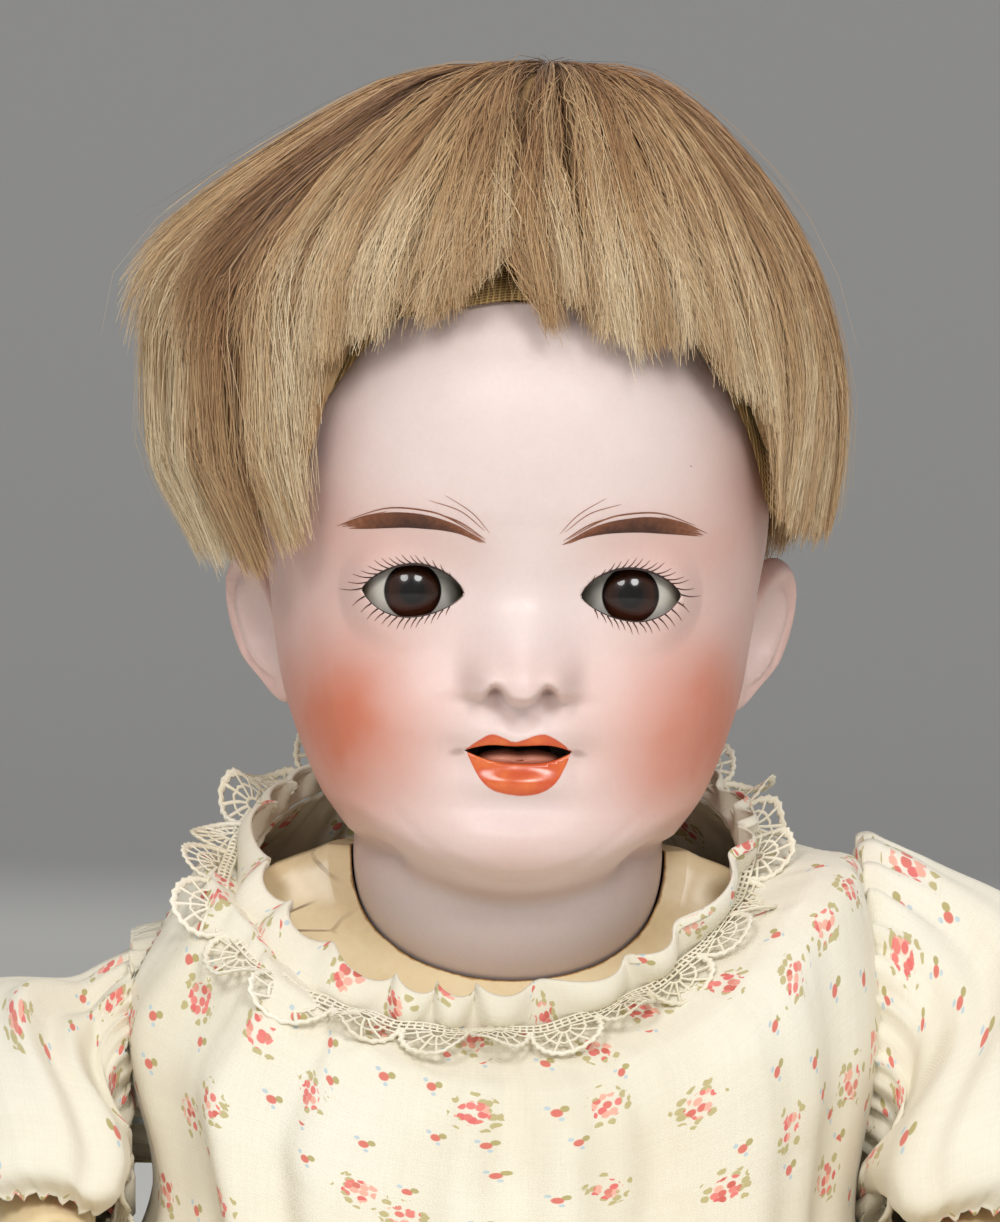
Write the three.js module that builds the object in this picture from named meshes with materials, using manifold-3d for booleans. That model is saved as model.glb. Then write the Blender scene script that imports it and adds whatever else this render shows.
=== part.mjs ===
// Seated bisque baby doll, millimetres, +Z up, facing -Y, seat at the origin.
import * as THREE from 'three';
import { mergeVertices } from 'three/addons/utils/BufferGeometryUtils.js';
import Module from 'manifold-3d';

const wasm = await Module();
wasm.setup();

// Driving sizes
const gap = 0.3;            // clearance between separate pieces
const eyeLine = 200;        // height of the eyes above the seat
const headScale = 1.0;      // bisque head, about the neck ball's centre
const bisqueWall = 4;
const neckRadius = 28.5;    // neck ball
const neckDrop = 50;        // neck ball's centre below the eye line
const neckHole = 10;
const cupWall = 3.5;        // torso's neck cup
const rimTilt = 40;         // degrees, cup rim tips forward
const rimDrop = 5;          // rim plane below the ball's centre
const backTilt = 12;        // degrees, the back of the rim tips the other way
const eyeRadius = 11.5;
const eyeSpacing = 39;      // between the two eye centres
const eyeDepth = 32;        // eye centres ahead of the head's axis
const eyeOpenWide = 18.2;
const eyeOpenTall = 9.7;
const lidWall = 0.7;        // wax lid on the glass
const mouthWide = 18.6;
const mouthTall = 3.0;
const crownCut = 48;        // crown opening above the eye line
const pateWall = 2;
const capWall = 1.8;        // wig cap with the hair's knots
const hairTop = 98;         // top of the hair above the eye line
const bowWire = 1.1;        // radius of the eye bow
const weightRadius = 7;
const weightDrop = 31;      // weight below the eye axis
const torsoWall = 4;
const shoulderY = 10;
const shoulderZ = 116;
const shoulderFace = 46;    // half distance between the arm faces
const shoulderRadius = 14;
const hipY = -4;
const hipZ = 30;
const hipFace = 38;         // half distance between the leg faces
const hipRadius = 26;
const limbHole = 6;         // stringing holes in the torso
const hookWire = 1.2;
const elasticRadius = 1.4;
const hookReach = 13;       // limb hooks, inwards from the limb's face
const clothWall = 1.2;
const collarTilt = 40;      // degrees
const collarRadius = 44.5;
const armholeRadius = 24;
const armholeX = 60;
const foldCount = 13;
const buttonRadius = 4;

const rad = Math.PI / 180;
const neckZ = eyeLine - neckDrop;
const V = (x, y, z) => new THREE.Vector3(x, y, z);
const group = new THREE.Group();

// Closed mesh from points and triangles, turned faces out
function closed(points, faces) {
  let volume = 0;
  for (const [a, b, c] of faces) {
    volume += points[a].dot(points[b].clone().cross(points[c]));
  }
  const index = faces.flatMap(([a, b, c]) => (volume > 0 ? [a, b, c] : [a, c, b]));
  const geometry = new THREE.BufferGeometry();
  const numbers = points.flatMap((p) => [p.x, p.y, p.z]);
  geometry.setAttribute('position', new THREE.Float32BufferAttribute(numbers, 3));
  geometry.setIndex(index);
  return geometry;
}

// Skin over rings of equal count, with a fan at each end
function loft(rings) {
  const n = rings[0].length;
  const points = rings.flat();
  const faces = [];
  for (let i = 0; i + 1 < rings.length; i += 1) {
    for (let j = 0; j < n; j += 1) {
      const a = i * n + j;
      const b = i * n + ((j + 1) % n);
      faces.push([a, b, b + n], [a, b + n, a + n]);
    }
  }
  const ends = [0, rings.length - 1];
  for (const e of ends) {
    const mid = rings[e].reduce((s, p) => s.add(p), V(0, 0, 0)).divideScalar(n);
    const m = points.push(mid) - 1;
    for (let j = 0; j < n; j += 1) {
      const a = e * n + j;
      const b = e * n + ((j + 1) % n);
      faces.push(e === 0 ? [m, b, a] : [m, a, b]);
    }
  }
  return closed(points, faces);
}

// Cloth of even thickness under a surface, open at its four edges or joined round in u
function sheet(surface, nu, nv, thick, round = false) {
  const points = [];
  const cols = round ? nu : nu + 1;
  const step = 1e-3;
  for (const side of [0, 1]) {
    for (let j = 0; j <= nv; j += 1) {
      for (let i = 0; i < cols; i += 1) {
        const u = i / nu;
        const v = j / nv;
        const p = surface(u, v);
        const ua = round ? u : Math.min(u, 1 - step);
        const va = Math.min(v, 1 - step);
        const base = surface(ua, va);
        const du = surface(ua + step, va).sub(base);
        const dv = surface(ua, va + step).sub(base);
        const out = du.cross(dv).normalize();
        points.push(side ? p.addScaledVector(out, -thick) : p);
      }
    }
  }
  const half = cols * (nv + 1);
  const faces = [];
  const quad = (a, b, c, d) => faces.push([a, b, c], [a, c, d]);
  for (let j = 0; j < nv; j += 1) {
    for (let i = 0; i < nu; i += 1) {
      const a = j * cols + i;
      const b = j * cols + ((i + 1) % cols);
      quad(a, b, b + cols, a + cols);
      quad(half + a, half + a + cols, half + b + cols, half + b);
    }
  }
  for (let i = 0; i < nu; i += 1) {
    const b = (i + 1) % cols;
    const e = nv * cols;
    quad(i, half + i, half + b, b);
    quad(e + i, e + b, half + e + b, half + e + i);
  }
  if (!round) {
    for (let j = 0; j < nv; j += 1) {
      const a = j * cols;
      const b = a + cols;
      quad(a, b, half + b, half + a);
      quad(a + nu, half + a + nu, half + b + nu, b + nu);
    }
  }
  return closed(points, faces);
}

function solid(geometry) {
  const bare = geometry.clone();
  bare.deleteAttribute('normal');
  bare.deleteAttribute('uv');
  const merged = mergeVertices(bare, 1e-4);
  return new wasm.Manifold(new wasm.Mesh({
    numProp: 3,
    vertProperties: new Float32Array(merged.attributes.position.array),
    triVerts: new Uint32Array(merged.index.array),
  }));
}

function geometryOf(manifold) {
  const mesh = manifold.getMesh();
  const geometry = new THREE.BufferGeometry();
  geometry.setAttribute('position', new THREE.Float32BufferAttribute(Array.from(mesh.vertProperties), 3));
  geometry.setIndex(Array.from(mesh.triVerts));
  return geometry;
}

function place(geometry, x, y, z) {
  return geometry.translate(x, y, z);
}

function ball(radius, at, wide = 14, high = 10) {
  return solid(place(new THREE.SphereGeometry(radius, wide, high), at.x, at.y, at.z));
}

// Ball-shaped room whose flat facets all lie outside the radius
function room(radius, at, wide = 20, high = 14) {
  const grow = 1 / (Math.cos(Math.PI / wide) * Math.cos(Math.PI / (2 * high)));
  return ball(radius * grow, at, wide, high);
}

// Cylinder between two x values round an axis at y, z
function barX(radius, x0, x1, y, z, sides = 18) {
  const geometry = new THREE.CylinderGeometry(radius, radius, Math.abs(x1 - x0), sides);
  geometry.rotateZ(Math.PI / 2);
  return solid(place(geometry, (x0 + x1) / 2, y, z));
}

function barZ(radius, z0, z1, x, y, sides = 18) {
  const geometry = new THREE.CylinderGeometry(radius, radius, Math.abs(z1 - z0), sides);
  geometry.rotateX(Math.PI / 2);
  return solid(place(geometry, x, y, (z0 + z1) / 2));
}

function box(x0, x1, y0, y1, z0, z1) {
  const geometry = new THREE.BoxGeometry(x1 - x0, y1 - y0, z1 - z0);
  return solid(place(geometry, (x0 + x1) / 2, (y0 + y1) / 2, (z0 + z1) / 2));
}

function circleShape(radius, sides) {
  const shape = new THREE.Shape();
  for (let i = 0; i < sides; i += 1) {
    const a = (i / sides) * 2 * Math.PI;
    const x = radius * Math.cos(a);
    const y = radius * Math.sin(a);
    if (i === 0) shape.moveTo(x, y);
    else shape.lineTo(x, y);
  }
  shape.closePath();
  return shape;
}

function wire(points, radius, steps, sides = 6) {
  const path = new THREE.CatmullRomCurve3(points, false, 'centripetal');
  const options = { steps, bevelEnabled: false, extrudePath: path };
  return new THREE.ExtrudeGeometry(circleShape(radius, sides), options);
}

function add(name, shape, colour, roughness, metalness = 0) {
  const geometry = shape instanceof THREE.BufferGeometry ? shape : geometryOf(shape);
  const bare = geometry.index ? geometry.toNonIndexed() : geometry;
  bare.deleteAttribute('normal');
  bare.deleteAttribute('uv');
  const merged = mergeVertices(bare, 1e-4);
  merged.computeVertexNormals();
  const material = new THREE.MeshStandardMaterial({ color: colour, roughness, metalness });
  const mesh = new THREE.Mesh(merged, material);
  mesh.name = name;
  group.add(mesh);
  return mesh;
}

// Smooth curve through [at, value] pairs, level beyond the ends
function curve(pairs) {
  return (t) => {
    if (t <= pairs[0][0]) return pairs[0][1];
    for (let i = 0; i + 1 < pairs.length; i += 1) {
      const [t0, a] = pairs[i];
      const [t1, b] = pairs[i + 1];
      if (t <= t1) {
        const before = pairs[Math.max(i - 1, 0)];
        const after = pairs[Math.min(i + 2, pairs.length - 1)];
        const m0 = (t1 - t0) * (b - before[1]) / (t1 - before[0]);
        const m1 = (t1 - t0) * (after[1] - a) / (after[0] - t0);
        const s = (t - t0) / (t1 - t0);
        const s2 = s * s;
        const s3 = s2 * s;
        return (2 * s3 - 3 * s2 + 1) * a + (s3 - 2 * s2 + s) * m0 + (3 * s2 - 2 * s3) * b + (s3 - s2) * m1;
      }
    }
    return pairs[pairs.length - 1][1];
  };
}

const bell = (t, mid, spread) => Math.exp(-0.5 * ((t - mid) / spread) ** 2);
const power = (t, n) => Math.sign(t) * Math.abs(t) ** n;
function ease(t, low, high) {
  const k = Math.max(0, Math.min(1, (t - low) / (high - low)));
  return k * k * (3 - 2 * k);
}

// Head outline by height e above the eye line: half width, front and back reach, ring centre
const headWide = curve([[-66, 17], [-56, 21.5], [-50, 25.5], [-46, 28.4], [-43, 30.8], [-37, 35], [-28, 39],
  [-19, 42], [-8, 44], [0, 45], [10, 46.5], [20, 46.5], [30, 45], [40, 41], [52, 33],
  [60, 25.5], [66, 17.5], [70, 9.5], [72, 3]]);
const headFront = curve([[-66, 20], [-60, 24.5], [-58, 26], [-56.5, 28], [-55, 30.5], [-53.5, 34],
  [-52, 38.5], [-50, 43.2], [-47, 46.5], [-44, 47.6], [-41, 47.2], [-38, 46.4], [-34, 47], [-28, 48],
  [-24, 48.6], [-20, 48.5], [-10, 47.5], [0, 47.5], [8, 49.5], [16, 52], [26, 54],
  [36, 53.5], [46, 50], [54, 44], [62, 33], [68, 20], [72, 3]]);
const headBack = curve([[-66, 18], [-50, 24], [-40, 23], [-33, 22.5], [-28, 25.5], [-22, 33], [-14, 42],
  [-6, 49], [4, 55], [14, 58], [24, 58.5], [34, 56.5], [44, 51],
  [54, 41.5], [62, 30], [68, 17.5], [72, 3]]);
const headMid = curve([[-66, 0], [-58, -10], [-44, -13], [-34, -11], [-22, -4], [-10, 0], [72, 0]]);
const noseTall = curve([[-22.5, 0], [-20.5, 2.6], [-18.5, 7.2], [-16, 9.2], [-13, 8.6], [-8, 5.2],
  [-2, 2.6], [5, 1.2], [12, 0]]);
const noseWide = curve([[-22, 5], [-16, 5.4], [-8, 4.6], [2, 5], [12, 7]]);

// How far the face stands ahead of the plain head at x, e
function faceRelief(x, e) {
  const s = Math.abs(x);
  let d = noseTall(e) * bell(x, 0, noseWide(e));
  d += 3.6 * bell(s, 6.2, 2.5) * bell(e, -16, 2.6);
  d += 3.4 * bell(s, 27, 11) * bell(e, -24, 12);
  d += 2.2 * bell(x, 0, 9.5) * bell(e, -45, 5);
  d += 2.6 * bell(x, 0, 6.4) * bell(e, -25.8, 1.9);
  d += 3.2 * bell(x, 0, 5.6) * bell(e, -32.6, 2.4);
  d -= 1.0 * bell(s, 11.2, 2.4) * bell(e, -28.5, 2.6);
  d -= 3.6 * bell(s, eyeSpacing / 2, 10) * bell(e, 0, 8);
  d += 1.2 * bell(s, 18, 12) * bell(e, 13, 5);
  return d;
}

// Head point at angle a (0 at +X, 90 at the face) and height e, drawn in by inset
function headPoint(a, e, inset, relief) {
  const w = Math.max(headWide(e) - inset, 0.5);
  const mid = headMid(e);
  const front = Math.max(headFront(e) - inset + mid, 0.5);
  const back = Math.max(headBack(e) - inset - mid, 0.5);
  const c = Math.cos(a);
  const s = Math.sin(a);
  const n = s > 0 ? 0.88 : 0.96;
  const x = w * power(c, n);
  let y = mid - (s > 0 ? front : back) * power(s, n);
  if (relief && s > 0) {
    y -= faceRelief(x, e) * Math.min(1, s * 1.6);
    const dome = eyeRadius + 2.0;
    const near = (Math.abs(x) - eyeSpacing / 2) ** 2 + e ** 2;
    if (near < dome ** 2) {
      const lid = -eyeDepth - Math.sqrt(dome ** 2 - near);
      const k = 1.2;
      y = -Math.log(Math.exp(-y / k) + Math.exp(-lid / k)) * k;
    }
  }
  return V(x * headScale, y * headScale, neckZ + (e + neckDrop) * headScale);
}

function headRings(levels, count, inset, relief) {
  return levels.map((e) => {
    const ring = [];
    for (let j = 0; j < count; j += 1) {
      const t = (j / count) * 2 * Math.PI;
      const a = t - 0.28 * Math.sin(2 * t) * (Math.sin(t) > 0 ? 1 : 0);
      ring.push(headPoint(a, e, inset, relief));
    }
    return ring;
  });
}

const outerLevels = [-64, -57.5, -54, -50, -45, -38, -33, -28.4, -25.5, -21, -18.5, -15.5, -10, -4, 2, 8, 16,
  26, 38, 48, 58, 66, 71];
const innerLevels = [-58, -46, -36, -24, -10, 6, 24, 42, 54, 62, 66];
const pivot = V(0, -eyeDepth * headScale, neckZ + neckDrop * headScale);
const eyeX = (eyeSpacing / 2) * headScale;
const neckAt = V(0, 0, neckZ);

// Almond prism along Y
function almond(wide, tall, y0, y1, x, z) {
  const shape = new THREE.Shape();
  const steps = 8;
  for (let i = 0; i < 2 * steps; i += 1) {
    const t = (i / (2 * steps)) * 2 * Math.PI;
    const px = (wide / 2) * Math.cos(t);
    const py = (tall / 2) * power(Math.sin(t), 1.25);
    if (i === 0) shape.moveTo(px, py);
    else shape.lineTo(px, py);
  }
  shape.closePath();
  const prism = new THREE.ExtrudeGeometry(shape, { depth: y1 - y0, bevelEnabled: false });
  prism.rotateX(Math.PI / 2);
  return solid(place(prism, x, y1, z));
}

function ear(side) {
  const geometry = new THREE.SphereGeometry(1, 10, 8);
  geometry.scale(4.2 * headScale, 7.6 * headScale, 13 * headScale);
  geometry.rotateX(-0.18);
  geometry.rotateZ(side * 0.5);
  const bowl = new THREE.SphereGeometry(1, 8, 6);
  bowl.scale(2.6 * headScale, 4.2 * headScale, 7.5 * headScale);
  bowl.rotateZ(side * 0.5);
  const at = V(side * 47 * headScale, 5 * headScale, pivot.z - 7 * headScale);
  const shell = solid(place(geometry, at.x, at.y, at.z));
  const dish = place(bowl, at.x + side * 3.6 * headScale, at.y - 2.5 * headScale, at.z + 1);
  return shell.subtract(solid(dish));
}

const headOuter = solid(loft(headRings(outerLevels, 28, 0, true)));
const headInner = solid(loft(headRings(innerLevels, 14, bisqueWall, false)));
const crownTop = neckZ + (neckDrop + 90) * headScale;
const crownZ = neckZ + (neckDrop + crownCut) * headScale;
const aboveCrown = box(-90, 90, -90, 90, crownZ, crownTop);
const abovePate = box(-90, 90, -90, 90, crownZ + gap, crownTop);
const neckInside = neckRadius - bisqueWall;
const cavity = headInner.add(room(neckInside, neckAt, 16, 10));

let head = headOuter.add(ball(neckRadius, neckAt, 20, 12)).add(ear(1)).add(ear(-1));
head = head.subtract(cavity).subtract(aboveCrown);
head = head.subtract(barZ(neckHole, neckZ - neckRadius - 5, neckZ - neckInside + 8, 0, 0));
for (const side of [1, -1]) {
  head = head.subtract(room(eyeRadius + lidWall + gap, V(side * eyeX, pivot.y, pivot.z), 14, 9));
  head = head.subtract(almond(eyeOpenWide, eyeOpenTall, -70, pivot.y, side * eyeX, pivot.z));
}
const mouthZ = pivot.z - 28.4 * headScale;
head = head.subtract(almond(mouthWide, mouthTall, -70, -36 * headScale, 0, mouthZ));

const bisque = '#dcc9c0';
const compo = '#dcc6a0';
const cotton = '#e6dfcb';
const steel = '#8a8781';
add('head_shell', head, bisque, 0.45);

const pateInner = solid(loft(headRings(innerLevels, 14, pateWall, false)));
const pateOuter = solid(loft(headRings(outerLevels, 14, 0, false)));
add('crown_pate', pateOuter.subtract(pateInner).intersect(abovePate), '#b9a883', 0.9);

// Wig: cap and hair are bowls over the skull, from outer crown to hairline and back up inside
const hairLine = (a) => {
  const s = Math.sin(a);
  if (s > 0) return 7 + 38 * bell(s, 1, 0.4) - 2 * Math.cos(a);
  return 7 + 38 * bell(0, 1, 0.4) - 22 * Math.min(1, -s * 1.6) - 2 * Math.cos(a);
};

function bowl(lower, outer, inner, count, steps) {
  const rings = [];
  for (const [k, reach] of [[0, outer], [1, inner]]) {
    for (let i = 0; i <= steps; i += 1) {
      const t = k ? 1 - i / steps : i / steps;
      const ring = [];
      for (let j = 0; j < count; j += 1) {
        const a = (j / count) * 2 * Math.PI;
        ring.push(reach(a, t, lower(a)));
      }
      rings.push(ring);
    }
  }
  return loft(rings);
}

// Skull surface from crown (t 0) to the height given (t 1), swelled by offset
function skull(offset) {
  return (a, t, low) => {
    const top = 71.5;
    const e = low + (top - low) * (1 - t ** 1.5);
    const p = headPoint(a, e, -offset * Math.min(1, 0.25 + t * 3), false);
    return V(p.x, p.y, p.z + offset * headScale * (1 - t));
  };
}

// Hair outline by the drop from its top, to each side
const hairLeft = curve([[0, 2], [1.4, 11], [5, 22], [10, 31.5], [17, 41.5], [24, 50], [31, 57.5],
  [39, 65], [48, 67.6], [61, 67.5], [76, 65.5], [84, 62.5], [91, 58], [116, 54]]);
const hairRight = curve([[0, 2], [1, 9.5], [4, 18], [10, 28.5], [16, 35.5], [24, 42.8], [32, 48.5],
  [42, 53.5], [60, 58.6], [74, 58.8], [88, 57], [96, 55], [116, 50]]);
const hairFront = curve([[0, 2], [0.8, 10], [3.5, 21], [10, 34], [20, 46], [32, 55], [42, 59.5],
  [50, 61], [116, 58]]);
const hairBack = curve([[0, 2], [0.8, 12], [3.5, 24], [12, 42], [26, 56], [42, 64.5], [60, 69.5],
  [78, 70], [96, 67], [109, 61.5], [116, 58]]);
const hairReach = (a, t, low) => {
  const c = Math.cos(a);
  const s = Math.sin(a);
  const drop = (hairTop - low + 2) * t ** 2;
  const lock = 1 + 0.02 * Math.sin(9 * a + 1) * t;
  const x = (c > 0 ? hairRight(drop) : hairLeft(drop)) * lock * power(c, 0.92);
  const y = 2 - (s > 0 ? hairFront(drop) : hairBack(drop)) * lock * power(s, 0.92);
  return V(x * headScale, y * headScale, neckZ + (hairTop - drop + neckDrop) * headScale);
};
const capRise = 1.8;
const capLine = (a) => hairLine(a) + 4;
function skullRoom(offset) {
  const levels = [-30, -14, 4, 20, 34, 46, 56, 64, 70];
  const rings = headRings(levels, 20, -offset, false);
  rings.forEach((ring, i) => {
    const lift = offset * headScale * Math.max(0, Math.min(1, (levels[i] - 15) / 50));
    ring.forEach((p) => p.setZ(p.z + lift));
  });
  return solid(loft(rings));
}

const cap = solid(bowl(capLine, skull(capRise + capWall), skull(-2), 20, 6)).subtract(skullRoom(capRise));
add('wig_cap', cap, '#c9b27c', 0.9);
let hair = solid(bowl(hairLine, hairReach, skull(-2), 24, 7)).subtract(skullRoom(capRise + capWall + 1.6));
for (const side of [1, -1]) {
  const ears = ball(15 * headScale, V(side * 47 * headScale, 6 * headScale, pivot.z - 8 * headScale), 12, 8);
  hair = hair.subtract(ears);
}
add('wig_hair', hair, '#c4a878', 0.6);

// Sleeping eyes
for (const [side, name] of [[1, 'left'], [-1, 'right']]) {
  const at = V(side * eyeX, pivot.y, pivot.z);
  add(`glass_eye_${name}`, ball(eyeRadius, at), '#cfcfc8', 0.08);
  const skin = ball(eyeRadius + lidWall, at).subtract(ball(eyeRadius + 0.02, at));
  const tip = new THREE.BoxGeometry(60, 60, 30);
  tip.translate(0, 4 - 30, 15 + 0.45 * eyeRadius);
  tip.rotateX(-0.12);
  add(`eyelid_${name}`, skin.intersect(solid(place(tip, at.x, at.y, at.z))), '#d8bfb2', 0.5);
  let cup = ball(eyeRadius + 3, at, 12, 8).subtract(room(eyeRadius + gap, at, 12, 8));
  cup = cup.intersect(box(at.x - 7, at.x + 7, at.y + 6, at.y + 30, at.z - 7, at.z + 7));
  cup = cup.subtract(barX(bowWire + gap, -60, 60, at.y + eyeRadius + 1.8, at.z, 8));
  add(`eye_plaster_${name}`, cup, '#e4ddd0', 0.9);
  let dab = ball(eyeRadius + lidWall + 4, at, 14, 10).subtract(room(eyeRadius + lidWall + gap, at, 14, 10));
  const x0 = side > 0 ? at.x + 8.5 : at.x - 30;
  dab = dab.intersect(box(x0, x0 + 21.5, at.y - 2, at.y + 12, at.z - 6, at.z + 6)).subtract(cavityOutside());
  add(`eye_bearing_${name}`, dab, '#e4ddd0', 0.9);
}

const bowBack = pivot.y + eyeRadius + 1.8;
const weightAt = V(0, pivot.y + 9, pivot.z - weightDrop);
const stem = wire([V(0, bowBack, pivot.z), V(0, bowBack - 1, pivot.z - 10), weightAt], bowWire, 5);
const bar = barX(bowWire, -eyeX - 6, eyeX + 6, bowBack, pivot.z, 8);
const bow = bar.add(solid(stem)).subtract(ball(weightRadius + 0.02, weightAt, 12, 8));
add('eye_bow', bow, steel, 0.45, 0.8);
add('eye_weight', ball(weightRadius, weightAt, 12, 8), '#6a6a6c', 0.6, 0.5);

// Everything outside the head's hollow, for pieces that lie against its wall
function cavityOutside() {
  const shrunk = solid(loft(headRings(innerLevels, 14, bisqueWall + gap, false)));
  return box(-90, 90, -90, 90, neckZ - 40, crownTop).subtract(shrunk);
}

const corkAt = V(0, weightAt.y - weightRadius - 4, weightAt.z - 9);
const corkBar = new THREE.CylinderGeometry(5, 5, 14, 10);
let cork = solid(place(corkBar, corkAt.x, corkAt.y, corkAt.z)).subtract(cavityOutside());
cork = cork.subtract(room(weightRadius + gap, weightAt, 12, 8));
add('eye_stop', cork, '#a5835a', 0.9);

const tongueAt = V(0, -39 * headScale, mouthZ - 2.6 * headScale);
const tongueBlob = new THREE.SphereGeometry(1, 12, 6);
tongueBlob.scale(6.4 * headScale, 5 * headScale, 2.2 * headScale);
let tongue = solid(place(tongueBlob, tongueAt.x, tongueAt.y, tongueAt.z)).subtract(cavityOutside());
tongue = tongue.subtract(room(weightRadius + 1, weightAt, 12, 8));
add('tongue', tongue, '#8d5a4a', 0.5);

// Neck button and hook
const seatRadius = neckInside - gap;
const buttonProfile = [];
for (let i = 0; i <= 4; i += 1) {
  const a = (i / 4) * 38 * rad;
  buttonProfile.push(new THREE.Vector2(seatRadius * Math.sin(a), -seatRadius * Math.cos(a)));
}
const buttonTop = -seatRadius * Math.cos(38 * rad) + 1.5;
buttonProfile.push(new THREE.Vector2(seatRadius * Math.sin(38 * rad) - 1, buttonTop));
buttonProfile.push(new THREE.Vector2(0, buttonTop));
const button = new THREE.LatheGeometry(buttonProfile, 16);
button.rotateX(Math.PI / 2);
const hookRoom = barZ(hookWire + gap, neckZ - 40, neckZ + 10, 0, 0, 8);
const bored = solid(place(button, 0, 0, neckZ)).subtract(hookRoom);
add('neck_button', bored, '#b08a5a', 0.7);
const hookTop = neckZ + buttonTop + 1.5;
const hookLow = neckZ - 44;
const neckHook = solid(wire([V(0, 0, hookTop), V(0, 0, hookTop - 8), V(0, 0, hookLow + 6),
  V(0, 1.2, hookLow + 1.2), V(0, 4, hookLow), V(0, 6.8, hookLow + 1.4),
  V(0, 7.6, hookLow + 4.5)], hookWire, 14));
const washer = barZ(4, neckZ + buttonTop + gap, hookTop + 0.6, 0, 0, 10);
add('neck_hook', neckHook.add(washer), steel, 0.4, 0.9);

// Torso
const torsoLevels = [[0, 32, 27, 30], [3.2, 39, 34, 38], [12, 43, 40, 43], [30, 46, 44, 46],
  [56, 50, 48, 45], [82, 50, 45, 43], [102, 50.5, 39, 43], [114, 50.5, 31, 43], [124, 50.2, 23, 44.2],
  [133, 49.6, 13, 44], [141, 48.2, 6, 42.5], [147, 44.2, 4, 39.5], [152, 31, 3, 33]];

function torsoRings(inset, low, high, count) {
  const rings = [];
  for (const [z, w, f, b] of torsoLevels) {
    if (z < low || z > high) continue;
    const ring = [];
    for (let j = 0; j < count; j += 1) {
      const a = (j / count) * 2 * Math.PI;
      const n = z < 60 ? 1 : 0.9;
      const c = power(Math.cos(a), n);
      const s = power(Math.sin(a), n);
      const y = s > 0 ? -Math.max(f - inset, 1) * s : -Math.max(b - inset, 1) * s;
      ring.push(V(Math.max(w - inset, 1) * c, y, z));
    }
    rings.push(ring);
  }
  return rings;
}

const cupRadius = neckRadius + gap;
const cupOuter = cupRadius + cupWall;
function rimCut(tilt) {
  const up = V(0, -Math.sin(tilt * rad), Math.cos(tilt * rad));
  const bar = new THREE.CylinderGeometry(cupOuter + 5, cupOuter + 0.6, 70, 24);
  bar.translate(0, 35 - rimDrop, 0);
  bar.applyQuaternion(new THREE.Quaternion().setFromUnitVectors(V(0, 1, 0), up));
  return solid(place(bar, 0, 0, neckZ));
}


let torso = solid(loft(torsoRings(0, 0, 200, 18))).add(ball(cupOuter, neckAt, 18, 11));
torso = torso.subtract(rimCut(rimTilt)).subtract(rimCut(-backTilt));
let hollow = solid(loft(torsoRings(torsoWall, 3.2, 130, 12))).subtract(ball(cupOuter, neckAt));
for (const side of [1, -1]) {
  const keep = shoulderFace - torsoWall;
  hollow = hollow.subtract(barX(shoulderRadius + 4, side * keep, side * 90, shoulderY, shoulderZ, 10));
  hollow = hollow.subtract(barX(hipRadius + 5, side * (hipFace - torsoWall), side * 90, hipY, hipZ, 10));
}
torso = torso.subtract(hollow).subtract(room(cupRadius, neckAt, 20, 12));
torso = torso.subtract(barZ(neckHole, neckZ - cupOuter - 12, neckZ, 0, 0));
for (const side of [1, -1]) {
  torso = torso.subtract(barX(shoulderRadius + 1, side * shoulderFace, side * 90, shoulderY, shoulderZ, 16));
  torso = torso.subtract(barX(hipRadius + 1, side * hipFace, side * 90, hipY, hipZ, 18));
  torso = torso.subtract(barX(limbHole, side * 20, side * 90, shoulderY, shoulderZ, 8));
  torso = torso.subtract(barX(limbHole, side * 20, side * 90, hipY, hipZ, 8));
}
add('torso_shell', torso, compo, 0.5);

// Limb skin along a smooth path with a radius at each point
function limb(stops, steps, sides) {
  const path = new THREE.CatmullRomCurve3(stops.map((s) => V(s[0], s[1], s[2])), false, 'centripetal');
  const reach = curve(stops.map((s, i) => [i / (stops.length - 1), s[3]]));
  const flat = curve(stops.map((s, i) => [i / (stops.length - 1), s[4] ?? 1]));
  const rings = [];
  for (let i = 0; i <= steps; i += 1) {
    const t = i / steps;
    const at = path.getPoint(t);
    const along = path.getTangent(t);
    const over = V(0, 0, 1).addScaledVector(along, -along.z).normalize();
    const across = along.clone().cross(over);
    const ring = [];
    for (let j = 0; j < sides; j += 1) {
      const a = (j / sides) * 2 * Math.PI;
      const r = reach(t);
      const p = at.clone().addScaledVector(across, r * flat(t) * Math.cos(a));
      ring.push(p.addScaledVector(over, r * Math.sin(a)));
    }
    rings.push(ring);
  }
  return solid(loft(rings));
}

// Button end of a limb: flat face at x0, domed outwards
function limbEnd(side, x0, radius, bulge, y, z) {
  const profile = [[0, 0], [radius - 1.5, 0], [radius, 1.5]].map(([x, y]) => new THREE.Vector2(x, y));
  for (let i = 1; i <= 4; i += 1) {
    const a = (i / 4) * Math.PI / 2;
    profile.push(new THREE.Vector2(i === 4 ? 0 : radius * Math.cos(a), 1.5 + bulge * Math.sin(a)));
  }
  const geometry = new THREE.LatheGeometry(profile, 14);
  geometry.rotateZ(-side * Math.PI / 2);
  return solid(place(geometry, side * x0, y, z));
}

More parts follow.
